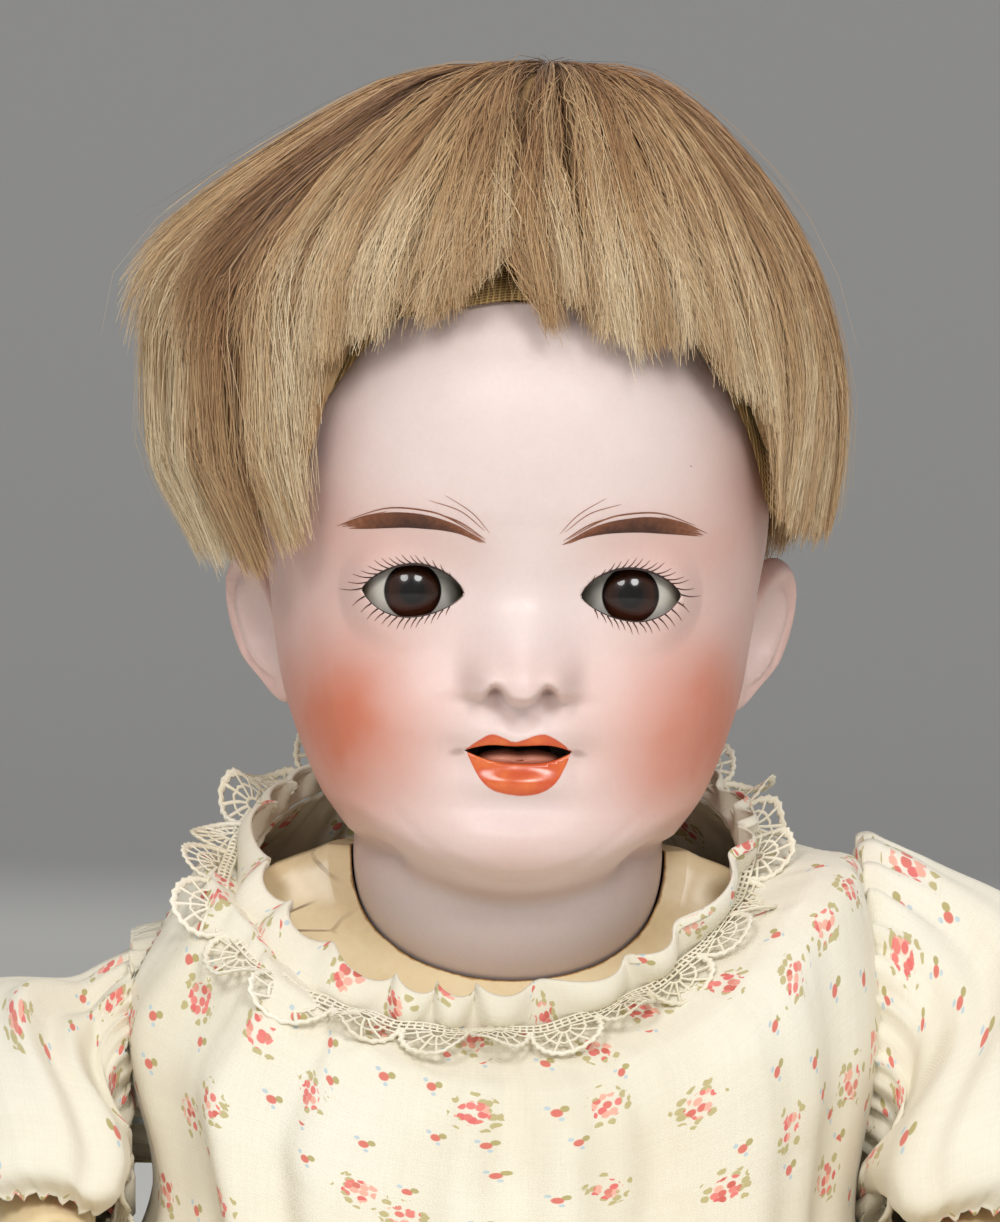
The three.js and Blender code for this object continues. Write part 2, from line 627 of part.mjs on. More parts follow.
const armStops = [[56, 10, 115, 12.5], [68, 8.5, 112, 12.6], [80, 2, 101.5, 12.2], [86, -10, 91, 12.2],
  [85.5, -25, 85.2, 11.4], [83, -39, 81.4, 9.3], [81, -47.5, 79.6, 7.6], [80, -53.5, 78.5, 7.8, 0.85],
  [78.5, -61.5, 77, 8.4, 0.6], [77.5, -68.5, 75.8, 6.5, 0.6]];
const legStops = [[60, -4, 30, 21], [61, -28, 32, 22.5], [62, -52, 34, 21.5], [61, -72, 32, 19.5],
  [58, -90, 24.5, 17], [54, -103, 18, 14.2], [51, -112, 13.5, 12.4]];
const footStops = [[51.5, -111, 12.6, 12.3, 0.9], [48, -120, 16, 10.6, 1.05], [43.5, -129, 22.5, 8.8, 1.3],
  [40, -135, 28.5, 7.2, 1.6], [38.4, -138, 31.5, 5.4, 1.9]];
const fingers = [[76.2, -67.5, 80.8, 74, -81, 78.8, 2.6], [76.6, -67.5, 77.4, 73.5, -84, 74.4, 2.7],
  [77, -66.5, 74, 74, -82.5, 70, 2.6], [77.2, -65, 71.2, 75, -78.5, 66, 2.4],
  [75, -60.5, 79.6, 69.5, -69, 83, 2.8]];
const toes = [[8.2, 2.6, 4.4], [2.6, 3.4, 3.4], [-1.8, 2.6, 3.1], [-5.8, 1.2, 2.9], [-9.3, -0.8, 2.6]];

function mirrorX(manifold, side) {
  return side > 0 ? manifold : manifold.mirror([1, 0, 0]);
}

const armFace = shoulderFace + gap;
const legFace = hipFace + gap;
let arm = limb(armStops, 11, 9).add(limbEnd(1, armFace, shoulderRadius, 11, shoulderY, shoulderZ));
for (const [x0, y0, z0, x1, y1, z1, r] of fingers) {
  const mid = V((x0 + x1) / 2 + 0.8, (y0 + y1) / 2, (z0 + z1) / 2 + 0.6);
  arm = arm.add(limb([[x0, y0, z0, r], [mid.x, mid.y, mid.z, r], [x1, y1, z1, r * 0.85]], 2, 5));
  arm = arm.add(ball(r * 0.85, V(x1, y1, z1), 5, 4));
}
let leg = limb(legStops, 8, 11).add(limbEnd(1, legFace, hipRadius, 20, hipY, hipZ));
leg = leg.add(ball(legStops[0][3], V(legStops[0][0], legStops[0][1], legStops[0][2]), 12, 8));
leg = leg.add(limb(footStops, 5, 9)).add(ball(12.3, V(51.5, -111, 12.4), 9, 7));
const toesAt = V(38.4, -138, 31.5);
const footAim = V(-0.38, -0.74, 0.55).normalize();
const footAcross = footAim.clone().cross(V(0, 0, 1)).normalize();
for (const [across, ahead, r] of toes) {
  const at = toesAt.clone().addScaledVector(footAcross, across).addScaledVector(footAim, ahead);
  leg = leg.add(ball(r, at, 6, 4));
}

// Wooden plug in the limb's face, with a wire hook through it
function plugged(whole, face, y, z) {
  const bored = whole.subtract(barX(7 + gap, face - 5, face + 9 + gap, y, z, 12));
  const plugBore = barX(hookWire + gap, face - 5, face + 6, y, z, 8);
  const plug = barX(7, face, face + 9, y, z, 12).subtract(plugBore);
  return [bored, plug];
}

function limbHook(face, y, z, turn) {
  const tip = face - hookReach;
  return wire([V(face + 6 - gap, y, z), V(face, y, z), V(tip + 5, y, z), V(tip + 1.2, y, z + turn),
    V(tip, y, z + 3.6 * turn), V(tip + 1.4, y, z + 6 * turn), V(tip + 4, y, z + 6.8 * turn)], hookWire, 12);
}

for (const [side, name] of [[1, 'left'], [-1, 'right']]) {
  const [armBody, armPlug] = plugged(arm, armFace, shoulderY, shoulderZ);
  add(`arm_${name}`, mirrorX(armBody, side), compo, 0.5);
  add(`arm_plug_${name}`, mirrorX(armPlug, side), '#b08a5a', 0.7);
  const armHook = solid(limbHook(armFace, shoulderY, shoulderZ, -1));
  add(`arm_hook_${name}`, mirrorX(armHook, side), steel, 0.4, 0.9);
  const [legBody, legPlug] = plugged(leg, legFace, hipY, hipZ);
  add(`leg_${name}`, mirrorX(legBody, side), compo, 0.5);
  add(`leg_plug_${name}`, mirrorX(legPlug, side), '#b08a5a', 0.7);
  add(`leg_hook_${name}`, mirrorX(solid(limbHook(legFace, hipY, hipZ, 1)), side), steel, 0.4, 0.9);
}

// Elastics: each end passes beside its hook and turns into the bend
function strung(middle, tip, y, z, steps) {
  const beside = hookWire + gap + elasticRadius + 0.6;
  const end = [V(tip + 4.6, y, z), V(tip + 3.8, y + 0.8 * beside, z), V(tip - 1, y + beside, z)];
  const start = end.map((p) => V(-p.x, p.y, p.z));
  return wire([...start, ...middle, ...end.reverse()], elasticRadius, steps, 5);
}

const strungZ = hookLow + hookWire + 2 * gap + elasticRadius + 0.7;
const bend = 3.4;
const besideArm = shoulderY + hookWire + gap + elasticRadius + 0.6;
const armMiddle = [V(0, besideArm, shoulderZ - bend)];
const armStrung = strung(armMiddle, armFace - hookReach, shoulderY, shoulderZ - bend, 12);
add('arm_elastic', armStrung, '#d9d2c2', 0.9);
const over = [V(-5, 3, strungZ - 8), V(-1.6, 4, strungZ - 0.6), V(0, 4, strungZ), V(1.6, 4, strungZ - 0.6),
  V(5, 3, strungZ - 8)];
add('leg_elastic', strung(over, legFace - hookReach, hipY, hipZ + bend, 24), '#d9d2c2', 0.9);

// Collar frame: angle a round the neck, reach r, height h off the collar, which tips less at the back
function collarPoint(a, r, h) {
  const tip = (collarTilt - 10 + 10 * Math.sin(a)) * rad;
  const ahead = V(0, -Math.cos(tip), -Math.sin(tip));
  const up = V(0, -Math.sin(tip), Math.cos(tip));
  const p = V(r * Math.cos(a) - 2, 0, neckZ - 1 + 2.2 * Math.cos(a));
  return p.addScaledVector(ahead, r * Math.sin(a)).addScaledVector(up, h);
}

// Dress outline by stage below the yoke: right, left, front and back reach, and the height at each
const yoke = 0.1;
const clothStops = [
  [yoke, [54, 53, 45, 47], [150, 143, 112, 148]],
  [0.18, [60, 58, 50, 52], [145, 134, 104, 135]],
  [0.30, [62, 61, 54, 55], [120, 116, 92, 116]],
  [0.50, [63, 63, 62, 57], [84, 84, 74, 84]],
  [0.72, [90, 90, 84, 65], [46, 46, 65, 45]],
  [1.00, [103, 103, 114, 75], [3, 3, 46, 3]],
];
const clothCurve = (k, i) => curve(clothStops.map((s) => [s[0], s[k][i]]));
const clothCurves = [1, 2].map((k) => [0, 1, 2, 3].map((i) => clothCurve(k, i)));

function clothPoint(a, v) {
  const c = Math.cos(a);
  const s = Math.sin(a);
  const w = Math.max(v, yoke);
  const side = clothCurves.map((set) => set[c > 0 ? 0 : 1](w));
  const face = clothCurves.map((set) => set[s > 0 ? 2 : 3](w));
  const lap = s > 0 ? Math.max(0, Math.min(1, (w - 0.35) / 0.3)) : 0;
  const x = side[0] * power(c, 0.88 - 0.22 * lap);
  const y = -face[0] * power(s, 0.88 - 0.22 * lap);
  const z = side[1] + (face[1] - side[1]) * Math.abs(s) ** (2 - 1.5 * lap);
  const calm = 1 - 0.85 * c ** 4 * Math.max(0, Math.min(1, (0.7 - w) / 0.2));
  const depth = (0.5 + 4.2 * w ** 1.3) * calm;
  const fold = Math.cos(foldCount * a + 2.2 * Math.sin(3 * a)) + 0.4 * Math.cos((2 * foldCount + 1) * a);
  const out = 1 + depth * fold / Math.hypot(x, y);
  const p = V(x * out, y * out, z);
  if (v >= yoke) return p;
  return collarPoint(a, collarRadius, 0).lerp(p, v / yoke);
}

let armholes = null;
for (const side of [1, -1]) {
  const hole = barX(armholeRadius + 1, side * 44, side * 110, shoulderY, shoulderZ, 20);
  armholes = armholes ? armholes.add(hole) : hole;
}
const seam = 0.003;
const panels = [['dress_front', seam / 3, Math.PI - seam / 3, 24],
  ['dress_back_right', Math.PI + seam, 1.5 * Math.PI - 2 * seam, 11],
  ['dress_back_left', 1.5 * Math.PI + 2 * seam, 2 * Math.PI - seam, 11]];
let buttoned = null;
for (const [name, a0, a1, columns] of panels) {
  const panel = sheet((u, v) => clothPoint(a0 + (a1 - a0) * u, v), columns, 8, clothWall);
  buttoned = solid(panel).subtract(armholes);
  add(name, buttoned, cotton, 0.9);
}

// Puff sleeves round the upper arms, each gathered into its armhole and its band
const sleeveStops = [V(armholeX, shoulderY, shoulderZ), V(armholeX + 8, shoulderY, shoulderZ - 1),
  V(77, 6, 107), V(83.5, -3, 97), V(86, -12, 90.2), V(86, -17, 88.2)];
const sleeveCurve = new THREE.CatmullRomCurve3(sleeveStops, false, 'centripetal');
const sleeveSide = armholeX + 3.6;
function sleevePoint(u, v, lift) {
  const at = sleeveCurve.getPoint(v);
  const turn = Math.max(0, Math.min(1, (v - 0.25) / 0.5));
  const aim = V(1, 0, 0).lerp(sleeveCurve.getTangent(v), turn).normalize();
  const top = V(0, 0, 1).addScaledVector(aim, -aim.z).normalize();
  const across = aim.clone().cross(top);
  const puff = v < 0.1 ? 0 : Math.sin(Math.PI * ((v - 0.1) / 0.9) ** 0.7);
  const r = armholeRadius * (1 - v) + 16 * v + 7 * puff;
  const a = -u * 2 * Math.PI;
  const gather = 1 + 0.035 * Math.cos(14 * a) * puff;
  const [near, far] = lift;
  const rise = near * ease(v, 0.09, 0.22) + far * ease(v, 0.3, 0.6) - (near + far) * ease(v, 0.45, 0.9);
  const p = at.addScaledVector(across, r * gather * Math.cos(a));
  p.addScaledVector(top, r * gather * Math.sin(a) + rise * Math.max(0, Math.sin(a)) ** 1.5);
  if (v > 0.09) p.x = Math.max(p.x, sleeveSide);
  return p;
}

for (const [side, name, lift] of [[1, 'left', [11, 5]], [-1, 'right', [-9, 9]]]) {
  const tube = sheet((u, v) => sleevePoint(u, v ** 1.22, lift), 18, 7, clothWall, true);
  add(`dress_sleeve_${name}`, mirrorX(solid(tube), side), cotton, 0.9);
}

// Band and lace at the sleeve's end, square to the arm
const bandAt = sleeveCurve.getPoint(1);
const bandAim = sleeveCurve.getTangent(1);
const bandOver = V(0, 0, 1).addScaledVector(bandAim, -bandAim.z).normalize();
const bandAcross = bandAim.clone().cross(bandOver);
function bandPoint(u, r, h) {
  const a = -u * 2 * Math.PI;
  const p = bandAt.clone().addScaledVector(bandAim, h);
  return p.addScaledVector(bandAcross, r * Math.cos(a)).addScaledVector(bandOver, r * Math.sin(a));
}

for (const [side, name] of [[1, 'left'], [-1, 'right']]) {
  const band = sheet((u, v) => bandPoint(u, 15.6, gap + 3.6 * v), 20, 1, clothWall, true);
  add(`sleeve_band_${name}`, mirrorX(solid(band), side), cotton, 0.9);
  const flare = (u, v) => 15.6 + 2.4 * v + 1.1 * v * Math.cos(16 * Math.PI * u);
  const frill = (u, v) => bandPoint(u, flare(u, v), 3.6 + 2 * gap + 6.5 * v);
  add(`sleeve_lace_${name}`, mirrorX(solid(sheet(frill, 24, 1, 0.8, true)), side), '#ece5d2', 0.9);
}

// Neck ruffle stands on the gathers, and the lace lies out over the dress
const ruffle = (u, v) => {
  const a = u * 2 * Math.PI;
  const wave = 1.2 * v * Math.cos(20 * a + 0.4);
  return collarPoint(a, collarRadius - gap - 5 * v + 0.5 * wave, 0.1 + gap + 4.4 * v + wave);
};
add('neck_ruffle', solid(sheet(ruffle, 40, 1, 0.9, true)), cotton, 0.9);
const lace = (u, v) => {
  const a = u * 2 * Math.PI;
  const scallop = 1 - 0.14 * (0.5 + 0.5 * Math.cos(20 * a)) * v;
  return collarPoint(a, collarRadius + 2 * gap + 9.6 * v * scallop, 1.5 + 3.4 * v);
};
add('neck_lace', solid(sheet(lace, 40, 1, 0.8, true)), '#ece5d2', 0.9);

// Buttons down the back edge, each moved in until it meets the cloth
for (let i = 0; i < 3; i += 1) {
  const v = 0.16 + 0.1 * i;
  const a = 1.5 * Math.PI + 0.1;
  const p = clothPoint(a, v);
  const along = clothPoint(a + 0.01, v).sub(p);
  const down = clothPoint(a, v + 0.01).sub(p);
  const out = along.cross(down).normalize();
  const disc = new THREE.CylinderGeometry(buttonRadius, buttonRadius, 1.4, 12);
  disc.applyQuaternion(new THREE.Quaternion().setFromUnitVectors(V(0, 1, 0), out));
  p.addScaledVector(out, 6);
  const button = solid(place(disc, p.x, p.y, p.z));
  const inward = out.multiplyScalar(gap - button.minGap(buttoned, 12));
  add(`dress_button_${i + 1}`, button.translate([inward.x, inward.y, inward.z]), '#e8e2d6', 0.3);
}

export default group;
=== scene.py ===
import math

import bmesh
import bpy
import numpy as np
from mathutils import Matrix, Vector


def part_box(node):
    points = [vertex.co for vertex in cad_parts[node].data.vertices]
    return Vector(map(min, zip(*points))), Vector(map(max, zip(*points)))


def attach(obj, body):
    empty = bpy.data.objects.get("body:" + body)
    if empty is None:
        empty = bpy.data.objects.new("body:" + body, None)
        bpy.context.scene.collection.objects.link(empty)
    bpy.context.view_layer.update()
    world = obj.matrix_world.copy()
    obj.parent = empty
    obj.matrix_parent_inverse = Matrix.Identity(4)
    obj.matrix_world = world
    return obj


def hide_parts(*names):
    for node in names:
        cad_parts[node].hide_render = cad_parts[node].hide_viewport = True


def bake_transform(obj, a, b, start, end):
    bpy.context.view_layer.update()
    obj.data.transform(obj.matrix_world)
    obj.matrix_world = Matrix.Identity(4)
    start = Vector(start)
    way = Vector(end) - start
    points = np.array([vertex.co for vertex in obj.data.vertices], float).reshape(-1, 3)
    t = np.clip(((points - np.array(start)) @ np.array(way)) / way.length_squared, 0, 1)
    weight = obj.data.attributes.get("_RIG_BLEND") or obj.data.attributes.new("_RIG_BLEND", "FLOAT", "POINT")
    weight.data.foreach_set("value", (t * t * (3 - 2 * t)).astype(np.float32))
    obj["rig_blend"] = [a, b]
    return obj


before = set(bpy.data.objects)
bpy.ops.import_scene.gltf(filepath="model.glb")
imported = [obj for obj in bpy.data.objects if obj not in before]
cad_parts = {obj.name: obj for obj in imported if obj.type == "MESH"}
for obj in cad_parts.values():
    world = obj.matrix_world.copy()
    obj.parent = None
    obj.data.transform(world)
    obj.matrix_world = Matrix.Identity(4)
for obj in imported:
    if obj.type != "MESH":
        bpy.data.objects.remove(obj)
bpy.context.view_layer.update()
scene = bpy.context.scene
scene.view_settings.view_transform = "Standard"
mm = 0.001
tau = 2 * math.pi
sides = ((1, "left"), (-1, "right"))


# Small tools
def curve(pairs):
    at = np.array([p[0] for p in pairs], float)
    to = np.array([p[1] for p in pairs], float)
    last = len(at) - 1

    def read(t):
        t = np.clip(np.asarray(t, float), at[0], at[-1])
        i = np.clip(np.searchsorted(at, t, side="right") - 1, 0, last - 1)
        before, after = np.maximum(i - 1, 0), np.minimum(i + 2, last)
        span = at[i + 1] - at[i]
        k = (t - at[i]) / span
        m0 = span * (to[i + 1] - to[before]) / (at[i + 1] - at[before])
        m1 = span * (to[after] - to[i]) / (at[after] - at[i])
        k2, k3 = k * k, k * k * k
        return (to[i] * (2 * k3 - 3 * k2 + 1) + m0 * (k3 - 2 * k2 + k) + to[i + 1] * (3 * k2 - 2 * k3)
                + m1 * (k3 - k2))

    return read


def bell(t, mid, spread):
    return np.exp(-0.5 * ((t - mid) / spread) ** 2)


def power(t, n):
    return np.sign(t) * np.abs(t) ** n


def ease(t, low, high):
    k = np.clip((t - low) / (high - low), 0, 1)
    return k * k * (3 - 2 * k)


def softMax(a, b, k):
    top = np.maximum(a, b)
    return top + k * np.log(np.exp((a - top) / k) + np.exp((b - top) / k))


def unit(p):
    return p / np.maximum(np.linalg.norm(p, axis=-1, keepdims=True), 1e-9)


def colour(r, g, b):
    lin = [c / 255 / 12.92 if c <= 10.31 else ((c / 255 + 0.055) / 1.055) ** 2.4 for c in (r, g, b)]
    return (*lin, 1.0)


def emptyGrid(columns, rows):
    bm = bmesh.new()
    bm.loops.layers.uv.new("UVMap")
    bmesh.ops.create_grid(bm, x_segments=columns, y_segments=rows, size=0.5, calc_uvs=True)
    return bm


def openMesh(mesh):
    bm = bmesh.new()
    bm.from_mesh(mesh)
    return bm


def keepMesh(bm, mesh):
    bm.to_mesh(mesh)
    bm.free()


def flipFaces(mesh):
    bm = openMesh(mesh)
    bmesh.ops.reverse_faces(bm, faces=bm.faces[:])
    keepMesh(bm, mesh)


def meshFrom(bm, name):
    mesh = bpy.data.meshes.new(name)
    keepMesh(bm, mesh)
    return mesh


def spread(mesh):
    flat = np.empty(len(mesh.vertices) * 3, np.float32)
    mesh.vertices.foreach_get("co", flat)
    return flat.reshape(-1, 3).astype(float)


def settle(mesh, points, marks=None):
    mesh.vertices.foreach_set("co", (points * mm).astype(np.float32).ravel())
    for key, values in (marks or {}).items():
        layer = mesh.attributes.get(key) or mesh.attributes.new(key, "FLOAT", "POINT")
        layer.data.foreach_set("value", np.broadcast_to(values, (len(points),)).astype(np.float32))
    mesh.update()


# A grid whose columns run u = 0..1 and rows v = 0..1, laid where place() says, in millimetres
def gridSheet(name, columns, rows, place, joined=False, outward=False):
    mesh = meshFrom(emptyGrid(columns, rows), name)
    flat = spread(mesh)
    points, marks = place(flat[:, 0] + 0.5, flat[:, 1] + 0.5)
    cloth = marks.pop("cloth", None)
    if cloth is not None:  # the cut cloth's own millimetres, kept as metres in the map
        corner = np.empty(len(mesh.loops), np.int32)
        mesh.loops.foreach_get("vertex_index", corner)
        u, v = flat[corner, 0] + 0.5, flat[corner, 1] + 0.5
        laid = cloth(u, v, u.reshape(-1, 4).mean(1).repeat(4)) if callable(cloth) else cloth[corner]
        mesh.uv_layers["UVMap"].data.foreach_set("uv", (laid * mm).astype(np.float32).ravel())
    settle(mesh, points, marks)
    if joined or outward:
        bm = openMesh(mesh)
        bmesh.ops.remove_doubles(bm, verts=bm.verts[:], dist=2e-6)
        if outward:
            bmesh.ops.recalc_face_normals(bm, faces=bm.faces[:])
        keepMesh(bm, mesh)
    return mesh


# Many thin ribbons at once: a wide grid with every second column of faces taken out
def ribbonMesh(name, count, steps):
    columns = 2 * count - 1
    bm = emptyGrid(columns, steps)
    bm.faces.ensure_lookup_table()
    spare = [f for f in bm.faces if round((f.calc_center_median().x + 0.5) * columns - 0.5) % 2 == 1]
    bmesh.ops.delete(bm, geom=spare, context="FACES")
    mesh = meshFrom(bm, name)
    flat = spread(mesh)
    column = np.rint((flat[:, 0] + 0.5) * columns).astype(int)
    row = np.rint((flat[:, 1] + 0.5) * steps).astype(int)
    return mesh, column // 2, column % 2, row


def piece(mesh, finish, body=None, nodes=()):
    obj = bpy.data.objects.new(mesh.name, mesh)
    scene.collection.objects.link(obj)
    mesh.materials.clear()
    mesh.materials.append(finish)
    mesh.polygons.foreach_set("use_smooth", np.ones(len(mesh.polygons), bool))
    if body:
        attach(obj, body)
    if nodes:
        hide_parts(*nodes)
    return obj


def thicken(obj, wall, offset=-1.0):
    mod = obj.modifiers.new("wall", "SOLIDIFY")
    mod.thickness = wall * mm
    mod.offset = offset
    mod.use_even_offset = False


def bake(obj, name):
    graph = bpy.context.evaluated_depsgraph_get()
    mesh = bpy.data.meshes.new_from_object(obj.evaluated_get(graph))
    mesh.name = name
    return mesh


# Node tools
def add(tree, kind, inputs=None, **props):
    node = tree.nodes.new(kind)
    for key, value in props.items():
        setattr(node, key, value)
    for key, value in (inputs or {}).items():
        if isinstance(value, bpy.types.NodeSocket):
            tree.links.new(value, node.inputs[key])
        else:
            node.inputs[key].default_value = value
    return node


def calc(tree, how, a, b=0.0, c=0.0, clamp=False):
    return add(tree, "ShaderNodeMath", {0: a, 1: b, 2: c}, operation=how, use_clamp=clamp).outputs[0]


def times(tree, a, b, clamp=False):
    return calc(tree, "MULTIPLY", a, b, clamp=clamp)


def plus(tree, a, b):
    return calc(tree, "ADD", a, b)


def minus(tree, a, b):
    return calc(tree, "SUBTRACT", a, b)


def blendColour(tree, share, a, b):
    a, b = (colour(*c) if isinstance(c, tuple) else c for c in (a, b))
    return add(tree, "ShaderNodeMix", {0: share, 6: a, 7: b}, data_type="RGBA").outputs[2]


def between(tree, value, low, high, to0=0.0, to1=1.0):
    node = add(tree, "ShaderNodeMapRange", {0: value, 1: low, 2: high, 3: to0, 4: to1},
               interpolation_type="SMOOTHSTEP")
    return node.outputs[0]


def mark(tree, name):
    return add(tree, "ShaderNodeAttribute", attribute_name=name).outputs["Fac"]


def here(tree):
    return add(tree, "ShaderNodeTexCoord").outputs["Object"]


def stretched(tree, at, scale):
    return add(tree, "ShaderNodeMapping", {"Vector": at, "Scale": scale}).outputs[0]


def clothPlace(tree, wide, tall):
    uv = add(tree, "ShaderNodeUVMap", uv_map="UVMap").outputs[0]
    return stretched(tree, uv, (wide, tall, 1))


def noise(tree, at, scale, detail=3.0, rough=0.55, warp=0.0):
    inputs = {"Vector": at, "Scale": scale, "Detail": detail, "Roughness": rough, "Distortion": warp}
    return add(tree, "ShaderNodeTexNoise", inputs).outputs[0]


# Noise about zero, to roughen an edge or a tone
def jitter(tree, at, scale, detail, by):
    return times(tree, minus(tree, noise(tree, at, scale, detail), 0.5), by)


def cells(tree, at, scale, random=1.0, kind="F1", flat=False):
    inputs = {"Vector": at, "Scale": scale, "Randomness": random}
    return add(tree, "ShaderNodeTexVoronoi", inputs, feature=kind,
               voronoi_dimensions="2D" if flat else "3D")


def ramp(tree, value, stops):
    node = add(tree, "ShaderNodeValToRGB", {0: value})
    band = node.color_ramp
    while len(band.elements) < len(stops):
        band.elements.new(0.5)
    for element, (at, shade) in zip(band.elements, stops):
        element.position = at
        element.color = colour(*shade)
    return node.outputs[0]


def bump(tree, height, strength, depth):
    return add(tree, "ShaderNodeBump", {"Height": height, "Strength": strength,
                                        "Distance": depth * mm}).outputs[0]


def newFinish(name, **sockets):
    made = bpy.data.materials.new(name)
    made.use_nodes = True
    shader = made.node_tree.nodes["Principled BSDF"]
    for key, value in sockets.items():
        shader.inputs[key.replace("_", " ")].default_value = value
    return made, made.node_tree, shader


def wire(tree, shader, **links):
    for key, socket in links.items():
        tree.links.new(socket, shader.inputs[key.replace("_", " ")])


def newGroup(name, ins, outs, kind="Float"):
    tree = bpy.data.node_groups.new(name, "ShaderNodeTree")
    tree.interface.new_socket("Place", in_out="INPUT", socket_type="NodeSocketVector")
    for label, start in ins.items():
        what = "NodeSocketColor" if isinstance(start, tuple) else "NodeSocketFloat"
        tree.interface.new_socket(label, in_out="INPUT", socket_type=what).default_value = start
    for label in outs:
        tree.interface.new_socket(label, in_out="OUTPUT", socket_type="NodeSocket" + kind)
    return tree, tree.nodes.new("NodeGroupInput").outputs, tree.nodes.new("NodeGroupOutput").inputs


def useGroup(tree, group, inputs):
    return add(tree, "ShaderNodeGroup", inputs, node_tree=group)


# Shared effects
# Plain weave: small over-and-under bumps with slubs, from cloth millimetres
weaveGroup, ins, outs = newGroup("plainWeave", {"Thread": 0.5}, ("Height", "Slub"))
g, flatPlace = weaveGroup, ins["Place"]
part = add(g, "ShaderNodeSeparateXYZ", {0: flatPlace})
turn = calc(g, "DIVIDE", tau, ins["Thread"])
across, along = (calc(g, "SINE", times(g, part.outputs[i], turn)) for i in (0, 1))
check = times(g, across, along)
slubA, slubB = (noise(g, stretched(g, flatPlace, run), 1, 2) for run in ((2.2, 0.06, 1), (0.06, 2.2, 1)))
slub = plus(g, slubA, slubB)
g.links.new(plus(g, times(g, check, 0.5), times(g, slub, 0.8)), outs["Height"])
g.links.new(slub, outs["Slub"])

# Mottle: cloudy change of tone with fine grain, for painted and moulded skins
mottleGroup, ins, outs = newGroup("mottle", {"Cloud": 40.0, "Grain": 900.0}, ("Tone", "Height"))
g = mottleGroup
cloud, grain = noise(g, ins["Place"], ins["Cloud"], 4, 0.6), noise(g, ins["Place"], ins["Grain"], 2, 0.6)
g.links.new(plus(g, times(g, cloud, 0.75), times(g, grain, 0.25)), outs["Tone"])
g.links.new(plus(g, times(g, cloud, 0.6), grain), outs["Height"])

# Kiln and age specks: sparse dark dots, from object metres
speckGroup, ins, outs = newGroup("specks", {"Scale": 110.0, "Size": 0.03, "Few": 0.8}, ("Dots",))
g = speckGroup
cell = cells(g, ins["Place"], ins["Scale"])
dot = calc(g, "LESS_THAN", cell.outputs["Distance"], ins["Size"])
pick = add(g, "ShaderNodeSeparateColor", {0: cell.outputs["Color"]}).outputs[0]
g.links.new(times(g, dot, calc(g, "GREATER_THAN", pick, ins["Few"])), outs["Dots"])


# One even finish: mottled colour, gloss and relief
def plainFinish(name, dark, light, rough, cloud, grain, metal=0.0, relief=(0.3, 0.15), shine=None):
    finish, tree, shader = newFinish(name, Roughness=rough, Metallic=metal)
    tone = useGroup(tree, mottleGroup, {"Place": here(tree), "Cloud": cloud, "Grain": grain})
    dull, bright = shine or (min(1, rough + 0.1), rough - 0.08)
    wire(tree, shader, Base_Color=ramp(tree, tone.outputs["Tone"], [(0.3, dark), (0.7, light)]))
    wire(tree, shader, Roughness=between(tree, tone.outputs["Tone"], 0.3, 0.7, dull, bright))
    wire(tree, shader, Normal=bump(tree, tone.outputs["Height"], *relief))
    return finish


print("tools and shared effects ready")

# Bisque head
head = {"columns": 320, "rows": 236, "eyeLine": 200.0, "neckZ": 150.0, "neckRadius": 28.5, "neckHole": 10.0,
        "eyeX": 19.5, "eyeHalf": 9.1, "lidRadius": 13.3, "eyeY": -32.0, "mouth": (-9.9, 9.6),
        "lipDepth": 4.2, "lidDepth": 1.25}
headWide = curve([[-66, 17], [-56, 21.5], [-50, 25.5], [-46, 28.4], [-43, 30.8], [-37, 35], [-28, 39],
                  [-19, 42], [-8, 44], [0, 45], [10, 46.5], [20, 46.5], [30, 45], [40, 41], [52, 33],
                  [60, 25.5], [66, 17.5], [70, 9.5], [72, 3]])
headFront = curve([[-66, 20], [-60, 25], [-58, 26.6], [-56.5, 29], [-55.2, 32.4], [-54, 36], [-52.5, 39.8],
                   [-51, 42.8], [-49.5, 45.2], [-47, 47.3], [-44, 48], [-41, 47.7], [-38, 47.2],
                   [-34, 47.3], [-28, 48], [-24, 48.6], [-20, 48.5], [-10, 47.5], [0, 47.5], [8, 49.5],
                   [16, 52], [26, 54], [36, 53.5], [46, 50], [54, 44], [62, 33], [68, 20], [72, 3]])
headBack = curve([[-66, 18], [-50, 24], [-40, 23], [-33, 22.5], [-28, 25.5], [-22, 33], [-14, 42], [-6, 49],
                  [4, 55], [14, 58], [24, 58.5], [34, 56.5], [44, 51], [54, 41.5], [62, 30], [68, 17.5],
                  [72, 3]])
headMid = curve([[-66, 0], [-58, -10], [-44, -13], [-34, -11], [-22, -4], [-10, 0], [72, 0]])
noseTall = curve([[-30, 8.6], [-20, 9.0], [-16, 9.3], [-13, 8.6], [-10, 6.4], [-8, 5.0], [-2, 2.1],
                  [5, 0.9], [12, 0]])
noseWide = curve([[-22, 4.7], [-15, 4.9], [-8, 5.2], [2, 6.4], [12, 8]])
lidUpper = curve([[0, -0.3], [0.03, 0.8], [0.08, 1.8], [0.16, 3.0], [0.3, 4.2], [0.45, 4.75], [0.6, 4.55],
                  [0.75, 3.7], [0.88, 2.35], [0.96, 1.05], [1, 0.1]])
lidLower = curve([[0, -0.3], [0.05, -1.2], [0.14, -2.35], [0.3, -3.7], [0.48, -4.45], [0.64, -4.45],
                  [0.8, -3.5], [0.9, -2.25], [0.97, -0.9], [1, 0.1]])
lipTop = curve([[-9.7, -27.9], [-7.6, -26.3], [-5.2, -25.0], [-2.8, -25.6], [-1.2, -26.3], [0.6, -25.9],
                [2.6, -25.1], [4.6, -24.9], [7.2, -26.2], [9.4, -27.9]])
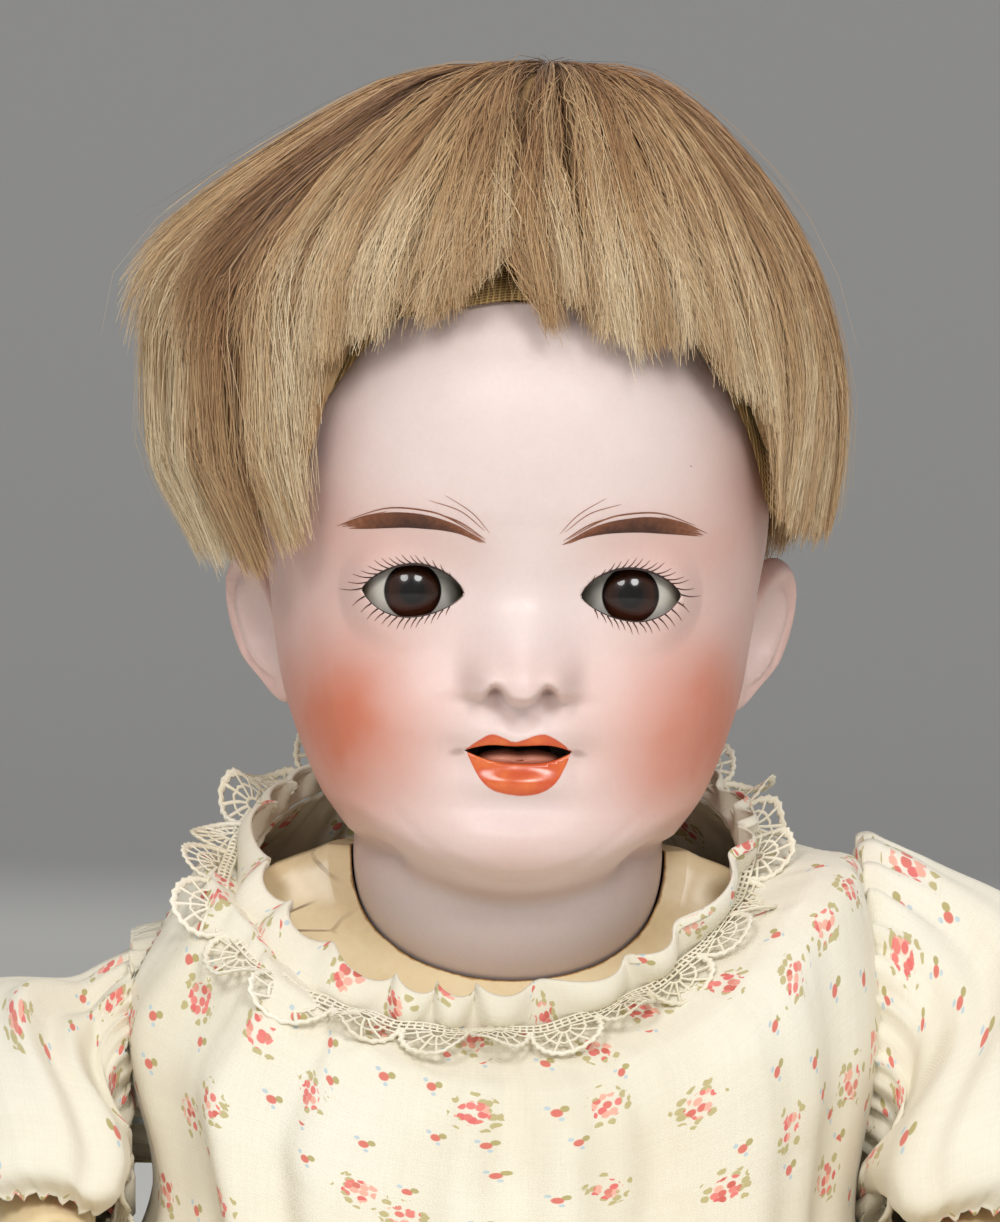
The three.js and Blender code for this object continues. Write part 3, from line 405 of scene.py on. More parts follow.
lipLow = curve([[-9.7, -27.9], [-8.7, -30.0], [-7.2, -32.8], [-5, -34.9], [-2, -35.8], [1, -36], [4, -35.4],
                [6.6, -33.6], [8.3, -30.6], [9.4, -27.9]])
mouthTop = curve([[-9.9, -28.1], [-7.5, -27.35], [-5, -26.95], [-1, -27.1], [4.8, -26.85], [7.6, -27.35],
                  [9.6, -28.1]])
mouthLow = curve([[-9.9, -28.1], [-7, -29.3], [-4, -30.1], [0, -30.4], [4, -30.2], [7, -29.4],
                  [9.6, -28.1]])


def headSection(a, e, swell=0.0):
    mid = headMid(e)
    c, s = np.cos(a), np.sin(a)
    n = np.where(s > 0, 0.88, 0.96)
    reach = np.where(s > 0, headFront(e) + swell + mid, headBack(e) + swell - mid)
    return (headWide(e) + swell) * power(c, n), mid - reach * power(s, n)


def faceRelief(x, e):
    s = np.abs(x)
    under = -19.5 + 2.9 * bell(s, 4.7, 1.45) + 1.0 * ease(s, 6, 9)
    r = (noseTall(e) * bell(x, 0, noseWide(e)) + 3.8 * bell(s, 6.7, 2.2)
         * bell(np.maximum(e, -15.4), -15.4, 2.6))
    r = r * ease(e, under - 1.1, under + 1.2)
    r = r + 3.4 * bell(s, 27, 11) * bell(e, -24, 12) + 1.6 * bell(x, 0, 11.5) * bell(e, -44.5, 5.4)
    r = r + 1.7 * bell(x, 0, 6.4) * bell(e, -25.6, 1.9) + 2.0 * bell(x, 0, 5.8) * bell(e, -34.0, 1.8)
    r = (r - 0.9 * bell(s, 11.4, 2.2) * bell(e, -28.2, 2.2) - 1.8 * bell(s, 19.5, 10) * bell(e, 0, 8)
         - 0.5 * bell(s, 10.8, 1.8) * bell(e, -31.5, 3))
    r = r + 1.2 * bell(s, 18, 12) * bell(e, 13, 5)
    r = r - 0.9 * nostrilAt(x, e)
    # groove under the nose
    r = r - 0.8 * bell(x, 0, 1.5) * bell(e, -22.8, 1.9) + 0.3 * bell(s, 3.2, 1.2) * bell(e, -23, 1.6)
    r = r - 0.55 * bell(x, 0, 8.5) * bell(e, -38.4, 2.5)  # hollow under the lip
    return r - 0.5 * bell(s, 10.8, 1.4) * bell(e, -15, 3.0)  # crease beside the nose wings


def nostrilAt(x, e):
    return bell(np.abs(x), 4.7, 1.2) * bell(e, -17.2 - 0.3 * (np.abs(x) - 4.7) ** 2, 0.5)


def facePoint(a, e):
    s = np.sin(a)
    x = headSection(a, e)[0]
    shift = np.minimum(3.3 * (x / 16) ** 2, 11)
    shift = shift * (1 - ease(e - shift + 54.8, 0, 9)) * np.clip(2 * s, 0, 1)
    y = headSection(a, e - shift)[1]
    y = y - faceRelief(x, e) * np.clip(1.6 * s, 0, 1)
    near = (np.abs(x) - head["eyeX"]) ** 2 + e ** 2
    lid = head["eyeY"] - np.sqrt(np.maximum(head["lidRadius"] ** 2 - near, 0))
    dome = -softMax(-y, -lid, 2.2)
    return x, y + (dome - y) * (s > 0) * (1 - ease(np.sqrt(near), 8.8, 15.5))


def frontY(x, e):
    c = np.clip(np.abs(x) / headWide(e), 0, 1) ** (1 / 0.88) * np.sign(x)
    return facePoint(np.arctan2(np.sqrt(np.maximum(1 - c * c, 0)), c), e)[1]


def blushAt(x, y, e):
    s = np.abs(x)
    b = 1.08 * bell(s, 33.5, 12.5) * bell(e, -25, 13.5) + 0.28 * bell(s, 25, 11) * bell(e, 9, 5)
    b = (b + 0.34 * bell(s, 42, 9) * bell(e, 16, 15) + 0.2 * bell(x, 0, 10) * bell(e, -47, 5)
         + 0.12 * bell(x, 0, 7) * bell(e, -15, 4))
    return b * (1 - 0.8 * ease(y, 0, 26))


def headShell(u, v):
    a = np.interp(u, [0, 0.75, 1], [0, math.pi, tau])
    low = head["neckZ"] - math.sqrt(head["neckRadius"] ** 2 - head["neckHole"] ** 2) - head["eyeLine"]
    e = np.interp(v, [0, 0.1, 0.2, 0.5, 0.82, 0.96, 1], [low, -64, -54, -21, 15, 51.4, 52])
    x, y = facePoint(a, e)
    x, y = x * (1 + 0.012 * ease(e, 43, 48)), y * (1 + 0.012 * ease(e, 43, 48))
    ball = np.sqrt(np.maximum(head["neckRadius"] ** 2 - (e + 50) ** 2, 1))
    r = np.hypot(x, y)
    grown = softMax(r * ease(e, -74, -58), np.where(e < -30, ball, 1), 1.2)
    off = np.abs(np.arctan2(x, -y))  # beside the chin the neck stays round, so that it can turn in its cup
    grown = grown + (ball - grown) * (grown > ball) * ease(off, 0.5, 0.85) * ease(-e, 44, 49.5)
    scale = np.where(e < -34, grown / r, 1)
    x, y = x * scale, y * scale
    crease = 0.7 * bell(e, -51.6 + 6.1 * (x / 15.5) ** 2, 0.9) * bell(x, 0, 11)
    # creases of the double chin
    fold = (crease + 1.1 * bell(e, -55.2 + 3.3 * (x / 16) ** 2, 1.4) * bell(x, 0, 19)) * (y < 0)
    y = y + fold
    points = np.stack([x, y, e + head["eyeLine"]], 1)
    corner = bell(np.abs(x + 0.3), 10.6, 1.3) * bell(e, -28.2 - 0.16 * np.maximum(np.abs(x) - 10, 0), 0.55)
    # fold, nostril and corner also set the colour: painted shade in the chin creases, nostril arches and
    # mouth corners
    marks = {"blush": blushAt(x, y, e), "rim": np.zeros_like(x), "lip": np.full_like(x, -9.0), "fold": fold,
             "nostril": nostrilAt(x, e) * (y < -30), "corner": (y < -30) * corner}
    near = (y < -20) & (np.abs(x) < 14) & (e > -40) & (e < -20)
    lip = np.minimum(lipTop(x) - e, e - lipLow(x))
    lip = np.where(np.abs(x) > 9.4, np.minimum(lip, 9.4 - np.abs(x)), lip)
    marks["lip"] = np.where(near, lip, -9.0)
    return points, marks


def openingPath(kind):
    t = np.linspace(0, 1, 500)
    if kind == "mouth":
        x = np.linspace(*head["mouth"], len(t))
        return np.concatenate([np.stack([x, mouthTop(x)], 1), np.stack([x, mouthLow(x)], 1)])
    x = head["eyeX"] - head["eyeHalf"] + 2 * head["eyeHalf"] * t
    return np.concatenate([np.stack([x, lidUpper(t)], 1), np.stack([x, lidLower(t)], 1)])


def insideOpening(x, e):
    t = (np.abs(x) - head["eyeX"] + head["eyeHalf"]) / (2 * head["eyeHalf"])
    eye = (t > 0) & (t < 1) & (e < lidUpper(t)) & (e > lidLower(t))
    left, right = head["mouth"]
    mouth = (x > left) & (x < right) & (e < mouthTop(x)) & (e > mouthLow(x))
    return eye, mouth


def addEar(bm, side):
    made = bmesh.ops.create_uvsphere(bm, u_segments=44, v_segments=30, radius=1)
    rim, blush, lip = (bm.verts.layers.float[k] for k in ("rim", "blush", "lip"))
    turn = Matrix.Rotation(-side * 0.62, 3, "Z") @ Matrix.Rotation(-0.18, 3, "X")
    for v in made["verts"]:
        px, py, pz = v.co
        px *= side
        r = math.hypot(py, pz)
        lobe = 1 + 0.16 * pz - 0.1 * max(0, -pz - 0.5)
        x = 3.9 * px
        if px > 0:
            bowl = math.exp(-0.5 * (((py + 0.08) / 0.34) ** 2 + ((pz + 0.06) / 0.36) ** 2))
            helix = math.exp(-0.5 * ((r - 0.84) / 0.11) ** 2) * float(ease(pz, -0.75, -0.25))
            ridge = math.exp(-0.5 * ((r - 0.56) / 0.09) ** 2) * float(ease(py, -0.1, 0.35))
            valley = 1.5 * math.exp(-0.5 * ((r - 0.7) / 0.06) ** 2) * float(ease(py, -0.2, 0.3))
            x += 1.7 * helix - 4.6 * bowl + 1.2 * ridge - valley
            v[rim] = 0.25 * bowl
        p = turn @ Vector((side * x, 7.6 * lobe * py, 14.4 * pz))
        v.co = (Vector((side * (44.9 + 2.3 * pz), 5, 191.6)) + p) * mm
        v[blush] = 0.22 * float(bell(r, 0.9, 0.25)) + 0.12
        v[lip] = -9


mesh = gridSheet("bisque_head", head["columns"], head["rows"], headShell)
centre = np.empty(len(mesh.polygons) * 3, np.float32)
mesh.polygons.foreach_get("center", centre)
centre = centre.reshape(-1, 3).astype(float) / mm
eyeFace, mouthFace = insideOpening(centre[:, 0], centre[:, 2] - head["eyeLine"])
gone = np.flatnonzero((eyeFace | mouthFace) & (centre[:, 1] < -20))
bm = openMesh(mesh)
bm.faces.ensure_lookup_table()
bmesh.ops.delete(bm, geom=[bm.faces[i] for i in gone], context="FACES")
bmesh.ops.remove_doubles(bm, verts=bm.verts[:], dist=2e-6)
eyePath, mouthPath = openingPath("eye"), openingPath("mouth")
rimLayer = bm.verts.layers.float["rim"]
border = [e for e in bm.edges if e.is_boundary and e.verts[0].co.y < -0.02
          and 0.165 < e.verts[0].co.z < 0.21]
for v in {v for e in border for v in e.verts}:
    x, e = v.co.x / mm, v.co.z / mm - head["eyeLine"]
    path = mouthPath if e < -18 else eyePath
    seek = np.array([x if e < -18 else abs(x), e])
    best = path[np.argmin(((path - seek) ** 2).sum(1))]
    x = best[0] if e < -18 else math.copysign(best[0], x)
    v.co = Vector((x, float(frontY(np.array(x), np.array(best[1]))), best[1] + head["eyeLine"])) * mm
    v[rimLayer] = 0.45
# The cut walls are marked rim and painted near black: painted shade inside the eye and mouth cuts, which
# also gives the eye cut its dark line
grown = bmesh.ops.extrude_edge_only(bm, edges=border)["geom"]
for v in [g for g in grown if isinstance(g, bmesh.types.BMVert)]:
    v.co.y += head["lipDepth" if v.co.z < 0.19 else "lidDepth"] * mm
    v[rimLayer] = 1.0
crownRim = [e for e in bm.edges if e.is_boundary and e.verts[0].co.z > 0.24]
neckRim = [e for e in bm.edges if e.is_boundary and e.verts[0].co.z < 0.13]
for ring, move in ((crownRim, 0.9), (neckRim, 0.7)):  # turned in
    grown = bmesh.ops.extrude_edge_only(bm, edges=ring)["geom"]
    for v in [g for g in grown if isinstance(g, bmesh.types.BMVert)]:
        v.co.x *= move
        v.co.y *= move
        v.co.z += (-3 if v.co.z > 0.2 else 3) * mm
addEar(bm, 1)
addEar(bm, -1)
bmesh.ops.recalc_face_normals(bm, faces=bm.faces[:])
keepMesh(bm, mesh)

bisque, tree, shader = newFinish("unglazedBisque", Roughness=0.44, Subsurface_Weight=0.12,
                                 Subsurface_Radius=(0.004, 0.0018, 0.0012), Subsurface_Scale=0.5)
at = here(tree)
tone = useGroup(tree, mottleGroup, {"Place": at, "Cloud": 34.0, "Grain": 1100.0})
skin = ramp(tree, tone.outputs["Tone"], [(0.3, (218, 198, 192)), (0.7, (228, 211, 206))])
flush = times(tree, mark(tree, "blush"), between(tree, noise(tree, at, 55, 3), 0.2, 0.75, 0.82, 1.08))
skin = blendColour(tree, times(tree, flush, 0.95, clamp=True), skin, (206, 120, 90))
lipEdge = plus(tree, mark(tree, "lip"), jitter(tree, at, 900, 2, 0.16))
lipShare = between(tree, lipEdge, -0.16, 0.2)
lipTone = blendColour(tree, between(tree, noise(tree, at, 240, 3), 0.35, 0.7), (206, 78, 22),
                      (222, 108, 40))
lipTone = blendColour(tree, between(tree, mark(tree, "lip"), 0.1, 1.0, 0.4, 0.0), lipTone, (184, 62, 20))
skin = blendColour(tree, times(tree, lipShare, 0.96), skin, lipTone)
# Painted shade: fold, nostril and corner paint the chin creases, nostril arches and mouth corners darker
# brown
shades = {"fold": (0.3, 1.6, 0.35, (176, 120, 96)), "nostril": (0.15, 0.9, 0.5, (122, 74, 56)),
          "corner": (0.1, 0.9, 0.42, (120, 88, 74)), "rim": (0.5, 1.0, 1.0, (46, 26, 18))}
# rim paints the walls of the cuts near black as painted shade
for key, (low, high, share, shade) in shades.items():
    skin = blendColour(tree, between(tree, mark(tree, key), low, high, 0.0, share), skin, shade)
dots = useGroup(tree, speckGroup, {"Place": at, "Scale": 95.0, "Size": 0.028, "Few": 0.72}).outputs[0]
skin = blendColour(tree, times(tree, dots, 0.75), skin, (96, 66, 50))
wire(tree, shader, Base_Color=skin)
rough = minus(tree, between(tree, tone.outputs["Tone"], 0.3, 0.7, 0.5, 0.38), times(tree, lipShare, 0.22))
wire(tree, shader, Roughness=rough, Normal=bump(tree, tone.outputs["Height"], 0.08, 0.12))
piece(mesh, bisque, "head", ["head_shell"])
print("head", len(mesh.polygons))

# Painted brows and lashes
paint = {"lift": 0.07, "browLines": 13, "lashUpper": 16, "lashLower": 14}
browLow = curve([[-12.0, 8.9], [-8, 10.7], [-3, 11.4], [3, 11.5], [8, 11.1], [13.2, 10.7]])
browTop = curve([[-12.3, 9.3], [-8, 11.8], [-3, 13.4], [3, 14.1], [8, 13.4], [13.2, 11.5]])


def paintedStrokes(name, strokes, steps, finish):
    mesh, which, side, row = ribbonMesh(name, len(strokes), steps)
    k = row / steps
    x, e = np.zeros(len(k)), np.zeros(len(k))
    tx, te, wide, tone = np.zeros(len(k)), np.zeros(len(k)), np.zeros(len(k)), np.zeros(len(k))
    for i, s in enumerate(strokes):
        m = which == i
        fx, fe = s["x"], s["e"]
        x[m], e[m] = fx(k[m]), fe(k[m])
        tx[m], te[m] = fx(k[m] + 0.01) - fx(k[m] - 0.01), fe(k[m] + 0.01) - fe(k[m] - 0.01)
        wide[m], tone[m] = s["wide"](k[m]), s["tone"](k[m])
    size = np.maximum(np.hypot(tx, te), 1e-9)
    out = np.where(side == 0, -1, 1) * wide / 2
    px, pe = x - te / size * out, e + tx / size * out
    py = frontY(px, pe) - paint["lift"]
    settle(mesh, np.stack([px, py, pe + head["eyeLine"]], 1), {"tone": tone})
    bm = openMesh(mesh)
    for f in bm.faces:
        f.normal_update()
        if f.normal.y > 0:
            f.normal_flip()
    keepMesh(bm, mesh)
    return piece(mesh, finish, "head")


def straight(points):
    pts = [(i / (len(points) - 1), p) for i, p in enumerate(points)]
    return curve([[k, p[0]] for k, p in pts]), curve([[k, p[1]] for k, p in pts])


def arch(k):
    return np.sin(np.pi * np.clip(k, 0, 1))


def browStrokes(sign, dice):
    made = []

    def stroke(points, wide, mid, ends):
        fx, fe = straight([(sign * (head["eyeX"] + dx), dz) for dx, dz in points])
        made.append({"x": fx, "e": fe, "wide": lambda k: wide * np.clip(arch(k), 0, 1) ** 0.55 + 0.04,
                     "tone": lambda k: ends + (mid - ends) * arch(k) ** 0.7})

    for i in range(paint["browLines"]):
        k = (i + 0.5) / paint["browLines"]
        start, end = -12.4 + dice.uniform(-0.4, 2.8), 13.0 - dice.uniform(-0.3, 2.4)
        line = [(dx, float(browLow(dx) * (1 - k) + browTop(dx) * k) + dice.uniform(-0.06, 0.06))
                for dx in np.linspace(start, end, 8)]
        stroke(line, 0.5 if k < 0.75 else 0.34, 0.12 + 0.25 * k, 0.75)
    stroke([(-11.9, 9.9), (-6, 13.3), (-1.5, 14.6), (5, 14.8), (11.6, 12.6)], 0.24, 0.5, 0.9)
    stroke([(-12.6, 9.6), (-8, 12.6), (-3, 14.4)], 0.2, 0.55, 0.92)
    stroke([(-13.3, 10.8), (-10, 14.4), (-5.2, 17.4)], 0.1, 0.66, 0.97)
    stroke([(-12.4, 11.2), (-8, 14.6), (-2.4, 16.4)], 0.12, 0.62, 0.96)
    stroke([(5, 14.2), (9.5, 13.0), (13.8, 11.2)], 0.2, 0.5, 0.85)
    return made


def lashStrokes(sign, dice):
    made = []
    x0, w = head["eyeX"] - head["eyeHalf"], 2 * head["eyeHalf"]

    def lash(bx, be, lean, reach, bend, wide, dark):
        tip = (bx + reach * math.cos(lean), be + reach * math.sin(lean))
        mid = (bx + 0.5 * reach * math.cos(lean + bend), be + 0.5 * reach * math.sin(lean + bend))
        fx, fe = straight([(sign * p[0], p[1]) for p in ((bx, be), mid, tip)])
        made.append({"x": fx, "e": fe, "wide": lambda k: wide[0] * (1 - k) ** wide[1] + 0.05,
                     "tone": lambda k: dark[0] + dark[1] * k})

    for i in range(paint["lashUpper"]):
        t = 0.1 + 0.9 * (i / (paint["lashUpper"] - 1)) ** 0.85
        lean = math.radians(58 - 66 * t ** 2.2 + dice.uniform(-5, 5))
        reach = (2.0 + 1.7 * t ** 2 + dice.uniform(-0.3, 0.35)) * (0.8 if t < 0.2 else 1)
        lash(x0 + w * t, float(lidUpper(t)) + 0.15, lean, reach, -0.12, (0.2, 0.8), (0.05, 0.4))
    for i in range(paint["lashLower"]):
        t = 0.14 + 0.83 * i / (paint["lashLower"] - 1)
        lean = math.radians(-64 + 48 * max(0, t - 0.3) ** 1.5 + dice.uniform(-5, 5))
        reach = 1.9 + 0.9 * t + dice.uniform(-0.3, 0.3)
        lash(x0 + w * t, float(lidLower(t)) - 0.2, lean, reach, 0.1, (0.24, 0.9), (0.08, 0.45))
    for upper in (True, False):  # dark line round the cut
        lid = lidUpper if upper else lidLower
        ts = np.linspace(0.0, 1.0, 25)
        fx, fe = straight([(sign * (x0 + w * t), float(lid(t)) + (0.14 if upper else -0.08)) for t in ts])
        thick = 0.42 if upper else 0.2
        made.append({"x": fx, "e": fe, "wide": lambda k, h=thick: h * (0.35 + 0.65 * arch(k) ** 0.6),
                     "tone": lambda k: 0.04 + 0 * k})
    return made


chinaPaint, tree, shader = newFinish("chinaPaint", Roughness=0.5)
at = here(tree)
tone = plus(tree, mark(tree, "tone"), jitter(tree, at, 700, 3, 0.35))
shade = ramp(tree, tone, [(0.0, (30, 18, 14)), (0.2, (70, 36, 20)), (0.5, (122, 70, 42)),
                          (0.95, (172, 118, 92))])
wire(tree, shader, Base_Color=shade)
wire(tree, shader, Roughness=between(tree, noise(tree, at, 400), 0.3, 0.7, 0.4, 0.6))
dice = np.random.default_rng(3)
paintedStrokes("painted_brows", browStrokes(1, dice) + browStrokes(-1, dice), 18, chinaPaint)
paintedStrokes("painted_lashes", lashStrokes(1, dice) + lashStrokes(-1, dice), 24, chinaPaint)
print("brows and lashes")

# Glass eyes
eyes = {"radius": 11.5, "iris": 5.1, "lid": 12.15, "lidWall": 0.5}
glassEye, tree, shader = newFinish("blownGlassEye", Roughness=0.22, Coat_Weight=0.55, Coat_Roughness=0.02,
                                   Specular_IOR_Level=0.15)
at = here(tree)
out = mark(tree, "out")
wob = plus(tree, out, jitter(tree, at, 1600, 2, 0.5))
iris = ramp(tree, calc(tree, "DIVIDE", wob, 10),
            [(0.0, (8, 5, 5)), (0.2, (10, 6, 5)), (0.25, (34, 17, 10)), (0.4, (50, 26, 15)),
             (0.47, (26, 14, 9)), (0.505, (14, 9, 8))])
# Painted light: the lower part of the iris is lightened toward red brown, as where light falls through the
# glass from above
paintedIrisLight = times(tree, between(tree, mark(tree, "low"), 0.05, 0.75), between(tree, out, 1.8, 3.2))
iris = blendColour(tree, times(tree, paintedIrisLight, 0.3), iris, (74, 30, 16))
# Painted shade: the white darkens to olive toward the corners, where the lids shade it
white = blendColour(tree, between(tree, mark(tree, "side"), 5.6, 9.6), (198, 194, 184), (104, 90, 56))
white = blendColour(tree, between(tree, noise(tree, at, 300), 0.4, 0.7, 0.0, 0.25), white, (178, 176, 170))
wire(tree, shader, Base_Color=blendColour(tree, between(tree, out, 5.0, 5.3), iris, white))
wire(tree, shader, Roughness=between(tree, noise(tree, at, 200), 0.3, 0.7, 0.15, 0.3))
for side, name in sides:
    bm = bmesh.new()
    bmesh.ops.create_uvsphere(bm, u_segments=72, v_segments=56, radius=eyes["radius"] * mm,
                              matrix=Matrix.Rotation(math.pi / 2, 4, "X"))
    outLayer, lowLayer, sideLayer = (bm.verts.layers.float.new(k) for k in ("out", "low", "side"))
    for v in bm.verts:
        r = math.hypot(v.co.x, v.co.z) / mm
        ahead = v.co.y < 0
        v[outLayer] = r if ahead else 20
        v[lowLayer] = -v.co.z / mm / eyes["iris"]
        v[sideLayer] = abs(v.co.x) / mm
        if ahead and r < eyes["iris"] + 1:  # slight swell of the clear front
            v.co.y -= 0.45 * mm * (1 - (r / (eyes["iris"] + 1)) ** 2)
    socket = (side * head["eyeX"] * mm, head["eyeY"] * mm, head["eyeLine"] * mm)
    bmesh.ops.translate(bm, verts=bm.verts[:], vec=socket)
    piece(meshFrom(bm, f"eye_glass_{name}"), glassEye, "eyes", [f"glass_eye_{name}"])


def lidPatch(side):
    def place(u, v):
        b, up = np.radians(-76 + 152 * u), np.radians(31 + 73 * v)
        r = eyes["lid"] * np.cos(b)
        x, y = side * head["eyeX"] + eyes["lid"] * np.sin(b), head["eyeY"] - r * np.cos(up)
        return np.stack([x, y, head["eyeLine"] + r * np.sin(up)], 1), {}
    return place


lidWax = plainFinish("lidWax", (204, 166, 150), (222, 190, 176), 0.4, 120.0, 1500.0,
                     relief=(0.1, 0.1), shine=(0.5, 0.34))
for side, name in sides:
    lid = piece(gridSheet(f"wax_lid_{name}", 48, 30, lidPatch(side), outward=True), lidWax, "eyes",
                [f"eyelid_{name}"])
    thicken(lid, eyes["lidWall"])
print("eyes")


# Tongue
def tongueSheet(u, v):
    a, up = u * tau, 0.5 * math.pi * (1 - 2 * v)
    x, y, z = np.cos(up) * np.cos(a), np.cos(up) * np.sin(a), np.sin(up)
    groove = 0.5 * bell(x, 0, 0.16) * (z > 0)
    return np.stack([7.4 * x, -42.4 + 4.6 * y, head["eyeLine"] - 29.6 + 1.9 * z - groove], 1), {}


# Painted light: the tongue is coloured lighter than its paint, for the light that the shaded mouth lacks
tongueGlaze = plainFinish("tongueGlaze", (170, 108, 88), (206, 146, 122), 0.35, 160.0, 1500.0,
                          relief=(0.2, 0.1), shine=(0.42, 0.3))
piece(gridSheet("mouth_tongue", 48, 30, tongueSheet, joined=True, outward=True), tongueGlaze, "head",
      ["tongue"])

# Mohair wig
wig = {"top": 99.3, "strands": 9000, "steps": 8, "wide": 0.16, "locks": 92, "tufts": 700,
       "flyaways": 900, "crown": 1500, "lockSeed": 11,
       "layers": ((0.5, 0.8), (0.62, 0.9), (0.72, 0.96), (0.8, 1.0), (0.88, 1.0), (0.94, 1.02))}
# Outline by the drop from the top, to each side
hairLeft = curve([[0, 0.5], [1.4, 11], [5, 22], [10, 31.5], [17, 41], [24, 49.5], [31, 56.8], [39, 63.4],
                  [46, 67.2], [54, 68.6], [63, 68.2], [76, 67.3], [84, 64.3], [91, 59.5], [116, 54]])
hairRight = curve([[0, 0.5], [1, 9.5], [4, 19], [10, 29], [16, 36], [24, 43.2], [32, 48.8], [42, 54.3],
                   [60, 59.6], [74, 60.1], [88, 58.2], [96, 56], [116, 50]])
hairFront = curve([[0, 0.5], [0.8, 10], [3.5, 21], [10, 34], [20, 46], [32, 55], [42, 59.5], [50, 61],
                   [116, 58]])
hairBack = curve([[0, 0.5], [0.8, 12], [3.5, 24], [12, 42], [26, 56], [42, 64.5], [60, 69.5], [78, 70],
                  [96, 67], [109, 61.5], [116, 58]])
cutLine = curve([[-20, 10], [0, 13], [30, 13], [38, 15], [41, 24], [43, 34], [51, 40.5], [58, 43], [70, 46],
                 [77.5, 47.6], [84, 49.5], [87.4, 51], [88.4, 53.4], [89.2, 56], [90.4, 56.8], [92, 57],
                 [93.4, 56.8], [94.2, 55.6], [95, 53.6], [96.4, 52.2], [100, 50.8], [107, 48.4],
                 [115, 45.8], [123, 43], [126, 34], [128.5, 14], [132, 9], [145, 6], [165, 8], [180, 10],
                 [200, 6], [220, -4], [245, -12], [270, -14], [295, -12], [320, -2], [340, 8], [360, 13],
                 [380, 13]])


def turned(a):
    return np.mod(np.degrees(a) + 20, 360) - 20


# Point of the wig: angle a, from the whorl (t 0) to the cut (t 1), from the cap (s 0) to the outside (s 1)
def wigPoint(a, t, s, cut):
    c, n = np.cos(a), np.sin(a)
    drop = (wig["top"] - cut) * t ** 2
    e = wig["top"] - drop
    x = np.where(c > 0, hairRight(drop), hairLeft(drop)) * power(c, 0.92)
    y = 2 - np.where(n > 0, hairFront(drop), hairBack(drop)) * power(n, 0.92)
    low = np.minimum(71.9, 74 - (74 - cut) * t ** 2)
    cx, cy = headSection(a, low, 3.2)
    whorl = np.clip(1 - t, 0, 1) ** 1.8
    x, y = cx + (x - cx) * s + 4 * whorl, cy + (y - cy) * s - 13 * whorl
    return np.stack([x, y, low + (e - low) * s + head["eyeLine"] - 1.2 * whorl], -1)


